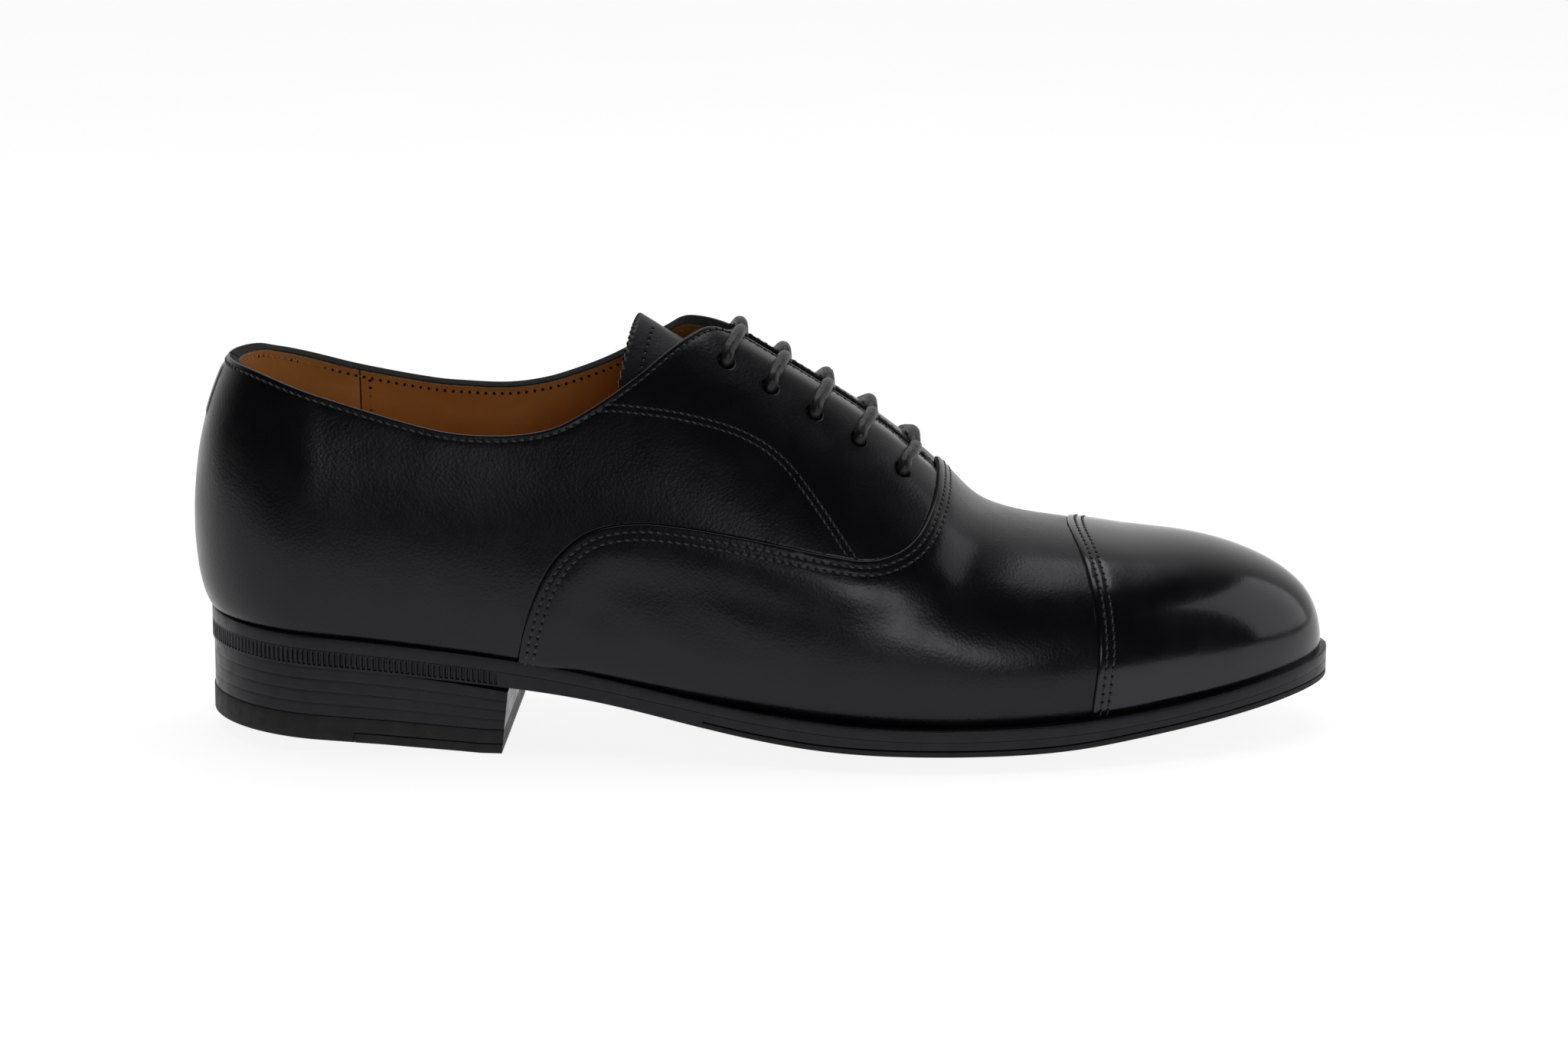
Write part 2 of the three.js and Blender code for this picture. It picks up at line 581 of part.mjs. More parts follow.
// The lace through one hole, from inside to outside: towards gives the next place inside.
function throughHole(side, row, towards) {
  const { s, t } = laceHole(side, row);
  const normal = facetNormal(side, s, t);
  const hole = onLast(side, s, t);
  const bar = onLast(side, s, t + 0.05).sub(hole).normalize();
  const inside = towards.clone().sub(hole).addScaledVector(normal, -towards.clone().sub(hole).dot(normal));
  inside.normalize();
  const at = (depth, direction, reach) => hole.clone().addScaledVector(normal, depth)
    .addScaledVector(direction, reach);
  return [at(UNDER, inside, 2.4), at(UNDER + 0.9, inside, 0.5), at(-2.7, inside, 0), at(-0.9, bar, 0),
    at(OVER - 0.8, bar, 0.5), at(OVER, bar, 2.4)];
}

// The bar over the facings, between the two holes of a row, from the given side to the other.
function bar(side, row) {
  const half = (which, shares) => {
    const { s, t } = laceHole(which, row);
    return shares.map(share => offLast(which, s, t + (1 - t) * share, OVER));
  };
  return [...half(side, [0.35, 0.7, 1]), ...half(-side, [0.7, 0.35])];
}

function tail(side, row, first, turn) {
  const steps = evenly(first, turn, 3);
  const back = turn + (first - turn) * 0.1;
  return [
    ...steps.slice(0, 3).map(x => beneath(side, x, 14)),
    beneath(side, back, 14),
    beneath(side, turn, 11.6),
    beneath(side, back, 9.2),
    beneath(side, turn + (first - turn) * 0.3, 9, 0.5),
    beneath(side, turn + (first - turn) * 0.5, 9, 1),
  ];
}

// The whole lace: a tucked tail, five bars joined by runs beneath the facings, and the other tail.
function lacePoints() {
  const bottom = LACE_HOLES - 1;
  const firstTail = tail(-1, bottom, 181, 147);
  const lastTail = tail(1, 0, 150, 186);
  const points = [...firstTail.reverse()];
  let side = -1;
  for (let row = bottom; row >= 0; row -= 1) {
    const hole = which => laceHole(which, row);
    const beside = (which, step) => offLast(which, hole(which).s + step, hole(which).t, UNDER);
    const arriving = row === bottom ? points.at(-1) : beside(side, 5);
    points.push(...throughHole(side, row, arriving), ...bar(side, row));
    side = -side;
    const leaving = row === 0 ? lastTail[0] : beside(side, -5);
    points.push(...throughHole(side, row, leaving).reverse());
  }
  return [...points, ...lastTail];
}

// A curve whose sections follow its points, so that its bends get as many as its straight runs.
class LaceCurve extends THREE.CatmullRomCurve3 {
  getUtoTmapping(u) {
    return u;
  }
}

function roundSection(radius, sides) {
  const corner = i => new THREE.Vector2(
    radius * Math.cos(2 * Math.PI * i / sides),
    radius * Math.sin(2 * Math.PI * i / sides),
  );
  return new THREE.Shape(evenly(0, sides - 1, sides - 1).map(corner));
}

function lace() {
  const points = lacePoints();
  const options = { steps: points.length - 1, bevelEnabled: false, extrudePath: new LaceCurve(points) };
  return new THREE.ExtrudeGeometry(roundSection(LACE_R, 8), options);
}

function aglet(end, before) {
  const direction = end.clone().sub(before).normalize();
  const start = end.clone().addScaledVector(direction, GAP);
  return cylinder(LACE_R, AGLET, start, direction, 8);
}

function eyelet(side, row) {
  const { s, t } = laceHole(side, row);
  const [inner, outer] = EYELET;
  const [top, bottom] = [MIDDLE[0] - GAP, MIDDLE[1] + GAP];
  const profile = [[inner, bottom], [outer, bottom], [outer, top], [inner, top], [inner, bottom]];
  const geometry = new THREE.LatheGeometry(profile.map(([r, h]) => new THREE.Vector2(r, h)), 10);
  const turn = new THREE.Quaternion().setFromUnitVectors(new THREE.Vector3(0, 1, 0), facetNormal(side, s, t));
  geometry.applyQuaternion(turn);
  const centre = onLast(side, s, t);
  geometry.translate(centre.x, centre.y, centre.z);
  return geometry;
}

// ---------------------------------------------------------------- sole unit
const INSIDE = -5;               // insole edge, from the feather line
const WELT_INSIDE = -4.6;

function ring(from, to, top, bottom) {
  const solid = plate({ outline: SOLE_EDGE, reach: TOE_R + 1.7, from, to, top, bottom });
  const hole = plate({
    outline: FEATHER,
    grow: WELT_INSIDE,
    top: soleLevel(8),
    bottom: soleLevel(-9),
  });
  return solid.subtract(hole);
}

const welt = () => ring(stationOfX(HEEL_FRONT) + GAP, TOE_END, soleLevel(WELT_TOP), soleLevel(WELT_BOTTOM));
const heelRand = () => ring(0, stationOfX(HEEL_FRONT), soleLevel(WELT_TOP), soleLevel(WELT_BOTTOM));

function inner([top, bottom], grow) {
  return plate({ outline: FEATHER, grow, top: soleLevel(top), bottom: soleLevel(bottom) });
}

function shankOutline(wider) {
  const half = SHANK_WIDTH / 2 + wider;
  return prism([[52 - wider, -half], [142 + wider, -half], [142 + wider, half], [52 - wider, half]],
    'top', 0, 80);
}

const shank = () => inner(SHANK, INSIDE).intersect(shankOutline(0));
const corkFiller = () => inner(CORK, INSIDE).subtract(shankOutline(GAP));

const treadTop = gap => (s, share) => soleBottom(s, share) + HALF_SOLE + gap;

function solePlate(from, to, top, bottom) {
  return plate({ outline: SOLE_EDGE, reach: TOE_R + 1.7, from: stationOfX(from), to, top, bottom });
}

const halfSole = () => solePlate(HALF_SOLE_START, TOE_END, treadTop(0), soleBottom);

function outsole() {
  const whole = solePlate(HEEL_X - FAN, TOE_END, soleLevel(OUTSOLE_TOP), treadTop(GAP));
  const rear = solePlate(HEEL_X - FAN, stationOfX(HALF_SOLE_START - GAP), soleLevel(OUTSOLE_TOP), soleBottom);
  return whole.add(rear);
}

// ---------------------------------------------------------------- heel
const heelFace = x => HEEL_BACK_LIFT * (HEEL_FRONT - x) / (HEEL_FRONT - 3);
const topPieceTop = x => heelFace(x) + TOP_PIECE[0] + (TOP_PIECE[1] - TOP_PIECE[0]) * x / HEEL_FRONT;

// Everything in front of the heel breast: a shallow hollow curve, leaning forward as it rises.
function breastCutter() {
  const breast = evenly(-45, 45, 10).map(y => [85.2 + 0.05 * y - 2 * (1 - (y / 32) ** 2), y]);
  const block = prism([...breast, [130, 45], [130, -45]], 'top', -10, 50);
  return block.warp(vertex => { vertex[0] += 0.1 * Math.max(vertex[2], 0); });
}

function heelBlock(grow, top, bottom) {
  const flat = height => (s, share, x) => height(x, s, share);
  return plate({ outline: SOLE_EDGE, grow, to: stationOfX(95), top: flat(top), bottom: flat(bottom) });
}

const heelPlate = (grow, top, bottom) => heelBlock(grow, top, bottom).subtract(breastCutter());

const nailPlaces = evenly(-2, 2, 4).map(i => {
  const angle = radians(180 + 38 * i);
  return [42 + 26 * Math.cos(angle), 24 * Math.sin(angle)];
});

function nail(index, radius, from, to) {
  const [x, y] = nailPlaces[index];
  return cylinder(radius, to - from, new THREE.Vector3(x, y, from), new THREE.Vector3(0, 0, 1), 6);
}

function nailed(solid) {
  return nailPlaces.reduce((rest, _, i) => rest.subtract(geometrySolid(nail(i, NAIL_R + 1.5 * GAP, -5, 19))), solid);
}

// Lift 1 lies against the sole; the share runs from the sole (0) to the rubber top piece (1).
function heelLift(number) {
  const level = (share, gap) => (x, s, across) => {
    const seat = soleBottom(s, across) - GAP;
    const foot = topPieceTop(x) + GAP;
    return seat + (foot - seat) * share + gap;
  };
  const top = level((number - 1) / LIFTS, number === 1 ? 0 : -GAP / 2);
  const bottom = level(number / LIFTS, number === LIFTS ? 0 : GAP / 2);
  return nailed(heelPlate(-0.6, top, bottom));
}

const insertRegion = gap => sidePrism([[INSERT_START - gap, -20], [INSERT_START - gap, 60],
  [120, 60], [120, -20]]);

function heelTopPiece() {
  const body = heelPlate(-0.2, x => topPieceTop(x), x => heelFace(x));
  const cut = heelBlock(3, x => heelFace(x) + INSERT + GAP, x => heelFace(x) - 3);
  return nailed(body.subtract(cut.intersect(insertRegion(GAP))));
}

function heelTopInsert() {
  const body = heelPlate(-0.2, x => heelFace(x) + INSERT, x => heelFace(x));
  return nailed(body.intersect(insertRegion(0)));
}

// ---------------------------------------------------------------- assembly
const FINISH = {
  calf: { color: 0x0b0b0d, roughness: 0.28, metalness: 0 },
  polished: { color: 0x08080a, roughness: 0.15, metalness: 0 },
  lining: { color: 0x9a5f28, roughness: 0.6, metalness: 0 },
  stiffener: { color: 0xcbb58f, roughness: 0.9, metalness: 0 },
  lace: { color: 0x101012, roughness: 0.5, metalness: 0 },
  tip: { color: 0x050505, roughness: 0.2, metalness: 0 },
  brass: { color: 0xb08d45, roughness: 0.35, metalness: 1 },
  steel: { color: 0x9a9da0, roughness: 0.35, metalness: 1 },
  insole: { color: 0xc49a6a, roughness: 0.8, metalness: 0 },
  cork: { color: 0xa97b4a, roughness: 0.95, metalness: 0 },
  edge: { color: 0x0e0e10, roughness: 0.35, metalness: 0 },
  rubber: { color: 0x17171a, roughness: 0.6, metalness: 0 },
};

const shoe = new THREE.Group();

function meshGeometry(solid) {
  const { vertProperties, triVerts } = solid.getMesh();
  const geometry = new THREE.BufferGeometry();
  geometry.setAttribute('position', new THREE.Float32BufferAttribute(vertProperties, 3));
  geometry.setIndex(Array.from(triVerts));
  return geometry;
}

function add(name, finish, shape) {
  const geometry = shape.isBufferGeometry ? shape : meshGeometry(shape);
  geometry.translate(-LENGTH / 2, -Y_BALANCE, 0);
  const body = meshGeometry(largest(geometrySolid(geometry, 1e-3)));
  body.computeVertexNormals();
  const mesh = new THREE.Mesh(body, new THREE.MeshStandardMaterial(FINISH[finish]));
  mesh.name = name;
  shoe.add(mesh);
}

function addUpper() {
  add('toe_cap', 'polished', toeCap());
  add('vamp', 'calf', vamp());
  add('quarter_lateral', 'calf', quarter(-1));
  add('quarter_medial', 'calf', quarter(1));
  add('heel_tab', 'calf', heelTab());
  add('tongue', 'calf', tongueLayer(0, 1.2));
  add('tongue_lining', 'lining', tongueLayer(1.5, 2.3));
}

function addInside() {
  add('quarter_lining_lateral', 'lining', quarterLining(-1));
  add('quarter_lining_medial', 'lining', quarterLining(1));
  add('heel_grip_lining', 'lining', heelGrip());
  add('vamp_lining', 'lining', vampLining());
  add('toe_puff', 'stiffener', toePuff());
  add('heel_counter', 'stiffener', heelCounter());
  add('facing_stay_lateral', 'stiffener', facingStay(-1));
  add('facing_stay_medial', 'stiffener', facingStay(1));
}

function addLacing() {
  const points = lacePoints();
  add('lace', 'lace', lace());
  add('aglet_1', 'tip', aglet(points[0], points[1]));
  add('aglet_2', 'tip', aglet(points.at(-1), points.at(-2)));
  for (const row of holeRows) {
    add(`eyelet_lateral_${row + 1}`, 'brass', eyelet(-1, row));
    add(`eyelet_medial_${row + 1}`, 'brass', eyelet(1, row));
  }
}

function addSole() {
  add('sock_liner', 'lining', inner(SOCK, INSIDE));
  add('insole', 'insole', inner(INSOLE, INSIDE));
  add('cork_filler', 'cork', corkFiller());
  add('shank', 'steel', shank());
  add('welt', 'edge', welt());
  add('heel_rand', 'edge', heelRand());
  add('outsole', 'edge', outsole());
  add('half_sole', 'rubber', halfSole());
}

function addHeel() {
  for (let number = 1; number <= LIFTS; number += 1) add(`heel_lift_${number}`, 'edge', heelLift(number));
  add('heel_top_piece', 'rubber', heelTopPiece());
  add('heel_top_insert', 'rubber', heelTopInsert());
  nailPlaces.forEach(([x], i) => {
    add(`heel_nail_${i + 1}`, 'steel', nail(i, NAIL_R, heelFace(x) + GAP, 18.5));
  });
}

addUpper();
addInside();
addLacing();
addSole();
addHeel();

export default shoe;
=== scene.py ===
# The looks of a black leather cap-toe oxford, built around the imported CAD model. Shapes are laid out in
# millimetres from the back of the upper, as the CAD is, and moved into the row frame in metres at the end.
import math

import bmesh
import bpy
from mathutils import Matrix, Vector
import numpy as np


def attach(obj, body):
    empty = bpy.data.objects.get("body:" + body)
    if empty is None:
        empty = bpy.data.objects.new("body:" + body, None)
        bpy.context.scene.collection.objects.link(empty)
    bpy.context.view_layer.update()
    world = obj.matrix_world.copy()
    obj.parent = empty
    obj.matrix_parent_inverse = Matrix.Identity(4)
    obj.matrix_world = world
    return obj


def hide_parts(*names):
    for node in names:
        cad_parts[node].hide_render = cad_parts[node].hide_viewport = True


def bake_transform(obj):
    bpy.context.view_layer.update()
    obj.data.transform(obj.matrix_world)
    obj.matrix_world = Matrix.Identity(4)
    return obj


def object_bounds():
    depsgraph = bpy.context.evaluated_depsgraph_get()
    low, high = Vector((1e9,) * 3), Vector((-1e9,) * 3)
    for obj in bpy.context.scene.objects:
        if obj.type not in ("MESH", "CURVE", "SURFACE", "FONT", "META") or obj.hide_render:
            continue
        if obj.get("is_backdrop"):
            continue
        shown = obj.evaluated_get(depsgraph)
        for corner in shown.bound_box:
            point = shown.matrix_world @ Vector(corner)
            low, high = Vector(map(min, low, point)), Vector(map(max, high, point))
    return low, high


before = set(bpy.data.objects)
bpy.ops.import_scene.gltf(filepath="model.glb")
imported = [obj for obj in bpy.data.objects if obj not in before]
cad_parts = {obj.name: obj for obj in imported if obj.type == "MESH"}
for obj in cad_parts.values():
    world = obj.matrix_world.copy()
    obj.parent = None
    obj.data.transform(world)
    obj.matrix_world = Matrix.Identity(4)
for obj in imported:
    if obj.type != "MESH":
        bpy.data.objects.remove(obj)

for name in ("Cube", "Light", "Camera"):   # Blender's own start-up objects
    if name in bpy.data.objects:
        bpy.data.objects.remove(bpy.data.objects[name])

CAD_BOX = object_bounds()

# ---------------------------------------------------------------- driving sizes, millimetres
ORIGIN = np.array([152.35, 0.15, 0.0])   # the row frame's origin
MM = 0.001
HEEL_X, FAN = 36.0, 55.0                 # centre of the round heel; line given to its quarter turn
TOE_X, TOE_R = 250.0, 53.0               # start and reach of the round toe
TOE_START = FAN + TOE_X - HEEL_X
TOE_END = TOE_START + TOE_R * math.pi / 2
WALL_SPLIT = 0.28                        # share of the profile below the widest point
BEND = (188.0, 238.0)                    # the stretch of the shoe that flexes
PITCH = 2.2                              # one sewing stitch
SHADE_DISC_RADIUS = 0.4                          # radius of the dark disc of painted shade that marks a needle hole
EDGE = 0.95                              # height of the vamp's edge over the quarters
CAP_EDGE, CAP_FADE = 0.62, 34            # height of the cap's edge, and where it has levelled out
LEATHER, QUARTER, LINING = 1.15, 1.2, 0.85   # thickness of the vamp and cap, the quarters, the linings
RIM = 2.75                               # thickness of the quarters along their free edges, with their stays
LINING_FACE, LINING_BACK = -2.8, -3.7    # depths of the linings' outer and inner sides
FACING_DROP = 1.2                        # how far the lace draws the facing edges down
HOLE_R, LACE_R = 2.25, 1.76
HOLES = range(5)
LEATHER_STEP, LINING_STEP = 1 / 72, 1 / 44   # steps of t for the leather and for the linings


def station(x):
    return FAN + x - HEEL_X


class Profile:
    """A natural cubic spline through (place, value) knots."""

    def __init__(self, knots):
        self.x = np.array([k[0] for k in knots], float)
        self.y = np.array([k[1] for k in knots], float)
        h = np.diff(self.x)
        a = np.eye(len(knots))
        b = np.zeros(len(knots))
        for i in range(1, len(knots) - 1):
            a[i, i - 1:i + 2] = h[i - 1], 2 * (h[i - 1] + h[i]), h[i]
            b[i] = 6 * ((self.y[i + 1] - self.y[i]) / h[i] - (self.y[i] - self.y[i - 1]) / h[i - 1])
        self.m = np.linalg.solve(a, b)

    def __call__(self, place):
        place = np.asarray(place, float)
        i = np.clip(np.searchsorted(self.x, place) - 1, 0, len(self.x) - 2)
        h = self.x[i + 1] - self.x[i]
        a = (self.x[i + 1] - place) / h
        b = 1 - a
        bend = (a ** 3 - a) * self.m[i] + (b ** 3 - b) * self.m[i + 1]
        return a * self.y[i] + b * self.y[i + 1] + bend * h * h / 6


def along(heel, body, toe):
    """Knots in degrees round the heel, in x along the body, in degrees round the toe."""
    knots = [(FAN * d / 90, v) for d, v in heel] + [(station(x), v) for x, v in body]
    return Profile(knots + [(TOE_START + TOE_R * math.radians(d), v) for d, v in toe])


def girth(heel, body, toe):
    """A profile with a value at each of the places that most profiles share."""
    return along(zip((0, 45, 90), heel), zip((60, 90, 120, 150, 175, 195, 215, 235), body),
                 zip((0, 30, 60, 90), toe))


LATERAL, MEDIAL = -1, 1
SIDES = {LATERAL: "lateral", MEDIAL: "medial"}
SOLE_EDGE = {                            # half widths: the sole, the foot of the upper, its widest line
    LATERAL: girth((31.7, 32.6, 33.8), (34.6, 35.2, 39, 45.8, 50.8, 52.6, 51.6, 48), (43.8, 32.6, 18, 0)),
    MEDIAL: girth((31.7, 32.4, 33.2), (32.8, 29.2, 29.8, 36.2, 44, 49.4, 51.4, 49.6), (45.6, 34, 18.5, 0)),
}
FEATHER = {
    LATERAL: girth((30.5, 30.8, 31.6), (32.4, 33, 36.4, 42, 46.4, 48, 47, 43.6), (39.8, 29.8, 16.4, 0)),
    MEDIAL: girth((30.5, 30.6, 31), (30.4, 27.6, 28.2, 33.2, 40, 45, 47, 45.2), (41.4, 31, 16.8, 0)),
}
WIDEST = {
    LATERAL: girth((36, 35.6, 35), (35.6, 37.2, 41, 45.6, 49, 49.8, 48.4, 44.8), (40.8, 30.2, 16.5, 0)),
    MEDIAL: girth((36, 35.4, 34.6), (34.4, 34.6, 37, 41, 45.6, 48.6, 48.8, 46.4), (42.4, 31.4, 17, 0)),
}
# heights: the foot of the upper, its widest line, its top
FEATHER_Z = along([(0, 33), (45, 32), (90, 30.2)],
                  [(60, 27.8), (86, 24.6), (110, 20.8), (137, 16.2), (166, 12.6), (192, 11.2), (212, 11.2),
                   (235, 12)],
                  [(0, 13.2), (30, 16.6), (60, 20), (90, 21.6)])
WIDEST_Z = girth((56, 54, 50), (46, 40, 34, 29, 25, 22.5, 21.5, 21.5), (21.8, 22.6, 23.2, 21.6))
RIDGE_Z = along([(0, 120), (45, 122), (90, 124)],
                [(60, 126), (90, 125.5), (115, 121.5), (138.6, 113), (146.3, 108.6), (165.8, 96.6),
                 (183, 85), (194, 76), (198.3, 72), (203, 66.8), (208, 62.6), (213, 59.8), (220, 57.4),
                 (232, 55.3), (240, 54.2)],
                [(0, 52.9), (15, 51.8), (30, 49.3), (45, 45), (60, 39.4), (75, 32), (90, 21.6)])
SHOULDER = girth((.02, 0, -.06), (-.08, -.08, -.08, -.1, -.1, -.04, .06, .12), (.14, .14, .1, .05))
CENTRE_Y = girth((0, 0, 0), (0, 0, 0, 0, 0, .5, 1, 1.8), (2.6, 4, 5, 5.4))
EDGE_THICKNESS = along([(0, 8.3), (45, 8), (90, 7.7)],
                       [(60, 7.3), (86, 6.9), (108, 6.4), (137, 7), (166, 7.4), (192, 6.95), (212, 6.95),
                        (235, 7)],
                       [(0, 6.6), (30, 6.6), (60, 7), (90, 7.6)])
CROWN = along([(0, 0), (45, 0), (90, 0)],
              [(60, 0), (86, .3), (110, 1), (137, 2.4), (166, 3.8), (192, 4.2), (212, 4.2), (235, 3.8)],
              [(0, 3.2), (30, 2), (60, .8), (90, 0)])


def place(side, s, r, z, reach=TOE_R):
    """The point at radius r and height z: round the heel, along the body, or round the toe."""
    turn = np.clip(s / FAN, 0, 1) * math.pi / 2
    toe = np.clip((s - TOE_START) / TOE_R, 0, math.pi / 2)
    x = np.where(s < FAN, HEEL_X - r * np.cos(turn), HEEL_X + s - FAN)
    x = np.where(s > TOE_START, TOE_X + reach * np.sin(toe), x)
    y = CENTRE_Y(s) + side * r * np.where(s < FAN, np.sin(turn), 1)
    return np.stack(np.broadcast_arrays(x, y, z), -1)


def by_side(table, side, s):
    return np.where(np.asarray(side) < 0, table[LATERAL](s), table[MEDIAL](s))


# Places on the last are (s, t): s runs from the back seam to the toe, and t from the outer feather line (0)
# over the ridge (1) to the inner feather line (2). A negative s lies beyond the back seam, on the far side.
def surface(s, t):
    s, t = np.broadcast_arrays(np.asarray(s, float), np.asarray(t, float))
    side = np.where((t > 1) ^ (s < 0), MEDIAL, LATERAL)
    t = np.clip(np.where(t > 1, 2 - t, t), 0, 1)
    s = np.clip(np.abs(s), 0, TOE_END)
    low = np.clip(t / WALL_SPLIT, 0, 1) * math.pi / 2
    high = np.clip((t - WALL_SPLIT) / (1 - WALL_SPLIT), 0, 1) * math.pi / 2
    rf, rw = by_side(FEATHER, side, s), by_side(WIDEST, side, s)
    zf, zw, zr = FEATHER_Z(s), WIDEST_Z(s), RIDGE_Z(s)
    wall = t < WALL_SPLIT
    dome = rw * np.cos(high) * (1 + SHOULDER(s) * np.sin(high) ** 2)
    r = np.where(wall, rf + (rw - rf) * np.sin(low), dome)
    z = np.where(wall, zw - (zw - zf) * np.cos(low), zw + (zr - zw) * np.sin(high))
    return place(side, s, r, z)


def length_along(line):
    """The distance travelled at each point of a line."""
    return np.concatenate([[0], np.cumsum(np.linalg.norm(np.diff(line, axis=0), axis=1))])


def resampled(at, travelled, line):
    return np.stack([np.interp(at, travelled, column) for column in line.T], -1)


def unit(v):
    return v / np.maximum(np.linalg.norm(v, axis=-1, keepdims=True), 1e-9)


def normals(s, t):
    """Outward normals. Near the feather lines they keep the wall's direction."""
    s, t = np.broadcast_arrays(np.asarray(s, float), np.asarray(t, float))
    level = np.clip(t, 0.06, 1.94)
    forward = surface(s + 0.4, level) - surface(s - 0.4, level)
    up = surface(s, level + 0.004) - surface(s, level - 0.004)
    n = unit(np.cross(forward, up))
    return np.where((s > TOE_END - 0.05)[..., None], np.array([1.0, 0, 0]), n)


def raised(s, t, height):
    return surface(s, t) + normals(s, t) * np.asarray(height, float)[..., None]


def smoothstep(a, b, v):
    v = np.clip((v - a) / (b - a), 0, 1)
    return v * v * (3 - 2 * v)


# ---------------------------------------------------------------- seams, seen from the side
def catmull(points, samples):
    """A Catmull-Rom curve through points, evenly in its parameter."""
    p = np.array(points, float)
    u = np.linspace(0, len(p) - 1, samples)
    i = np.minimum(u.astype(int), len(p) - 2)
    w = (u - i)[:, None]
    a, b = p[np.maximum(i - 1, 0)], p[i]
    c, d = p[i + 1], p[np.minimum(i + 2, len(p) - 1)]
    v0, v1 = (c - a) / 2, (d - b) / 2
    return (2 * b - 2 * c + v0 + v1) * w ** 3 + (-3 * b + 3 * c - 2 * v0 - v1) * w ** 2 + v0 * w + b


VAMP_SEAM = catmull([(87.5, 20), (89.9, 33), (93.9, 45), (99, 53.5), (107, 60), (118, 62.6), (131, 62.1),
                     (150, 59.2), (169, 55.6), (181, 54.3), (190.7, 57.8), (196.7, 65.9), (199.7, 75)], 400)
CAP_SEAM = catmull([(238, 10), (239.7, 25.6), (239.6, 36), (238.2, 45.3), (235.7, 52.4), (231.5, 58)], 200)
TOPLINE = {
    LATERAL: catmull([(-3, 100.6), (10, 100.5), (20.7, 98.9), (36, 94.1), (57.7, 87.9), (72, 84.9),
                      (86.6, 84.6), (98, 86.7), (108.5, 92.2), (118.3, 98.8), (127.3, 105.6), (134, 109.4),
                      (138.8, 110.4), (143, 109.3)], 300),
    MEDIAL: catmull([(-3, 100.6), (13.6, 100.5), (21.2, 98.4), (40.1, 93.1), (60.7, 89.1), (71.3, 88.1),
                     (81.6, 87.8), (90.1, 88.8), (98.4, 91.1), (111, 96.4), (124.8, 104.9), (130, 108.4),
                     (134.5, 109), (143, 107.8)], 300),
}
STAY_EDGE = catmull([(108, 91.5), (116, 91.4), (131.4, 89.4), (146.4, 85.1), (157, 78.5), (166, 68),
                     (176, 54)], 120)
GAP_HALF = ((90, 5.4), (196, 2.6), (198.6, 0))
LINING_SPLIT = ((150, -10), (203, 70))


def t_at(s, z):
    zf, zw, zr = FEATHER_Z(s), WIDEST_Z(s), RIDGE_Z(s)
    low = np.arccos(np.clip((zw - z) / (zw - zf), 0, 1)) / (math.pi / 2) * WALL_SPLIT
    high = WALL_SPLIT + (1 - WALL_SPLIT) * np.arcsin(np.clip((z - zw) / (zr - zw), 0, 1)) / (math.pi / 2)
    return np.where(z < zw, low, high)


def solve(s, low, high, above):
    """The t between low and high where above(s, t) turns true."""
    low = np.full(np.shape(s), float(low))
    high = np.full(np.shape(s), float(high))
    for _ in range(40):
        middle = (low + high) / 2
        found = above(s, middle)
        high = np.where(found, middle, high)
        low = np.where(found, low, middle)
    return low


def flipped(t, side):
    return t if side == LATERAL else 2 - t


def topline_z(side, x):
    line = TOPLINE[side]
    level = np.interp(x, line[:, 0], line[:, 1])
    back = np.interp(x, TOPLINE[LATERAL][:, 0], TOPLINE[LATERAL][:, 1])
    return np.where(x < 6, back, level)


def topline_place(side, s):
    def above(s, t):
        p = surface(s, flipped(t, side))
        return p[..., 2] > topline_z(side, p[..., 0])
    return flipped(solve(s, WALL_SPLIT, 1, above), side)


def radius_place(side, s, r):
    def above(s, t):
        p = surface(s, flipped(t, side))
        return np.abs(p[..., 1] - CENTRE_Y(s)) < r
    return flipped(solve(s, WALL_SPLIT, 1, above), side)


def gap_half(x):
    return np.interp(x, [k[0] for k in GAP_HALF], [k[1] for k in GAP_HALF])


def on_side(line, side):
    """(s, t) of a side-view line's points that lie on the last."""
    s = station(line[:, 0])
    kept = (line[:, 1] >= FEATHER_Z(s)) & (line[:, 1] <= RIDGE_Z(s))
    s = s[kept]
    return np.stack([s, flipped(t_at(s, line[kept, 1]), side)], -1)


def over_ridge(line):
    return np.vstack([on_side(line, LATERAL), on_side(line, MEDIAL)[::-1]])


def point_line_distance(p, line):
    """Distance from each point to a polyline, in 2-D or 3-D."""
    a, b = line[:-1], line[1:]
    d = b - a
    size = np.maximum((d * d).sum(-1), 1e-12)
    best = np.full(len(p), np.inf)
    which = np.zeros(len(p), int)
    for start in range(0, len(p), 4000):
        q = p[start:start + 4000, None] - a[None]
        u = np.clip((q * d).sum(-1) / size, 0, 1)
        gap = ((q - u[..., None] * d) ** 2).sum(-1)
        nearest = gap.argmin(1)
        which[start:start + 4000] = nearest
        best[start:start + 4000] = np.sqrt(gap[np.arange(len(gap)), nearest])
    return best, which


def right_of(p, line):
    """True where a side-view point lies to the right of a line's direction. The line runs on at its ends."""
    first = line[0] + (line[0] - line[3]) * 40
    final = line[-1] + (line[-1] - line[-4]) * 40
    longer = np.vstack([first, line[::4], line[-1], final])
    _, i = point_line_distance(p, longer)
    d = longer[i + 1] - longer[i]
    q = p - longer[i]
    return d[:, 0] * q[:, 1] - d[:, 1] * q[:, 0] < 0


class Seam:
    """A line on the last. Its distance is measured in space, and its sign comes from `inside`."""

    def __init__(self, places, inside, spacing=2):
        self.places = places
        self.line = surface(places[:, 0], places[:, 1])[::spacing]
        self.inside = inside

    def __call__(self, s, t):
        p = surface(s, t)
        distance, _ = point_line_distance(p, self.line)
        return np.where(self.inside(p, s, t), distance, -distance)


def seam_in_view(line):
    return Seam(over_ridge(line), lambda p, s, t: right_of(p[:, ::2], line), 3)


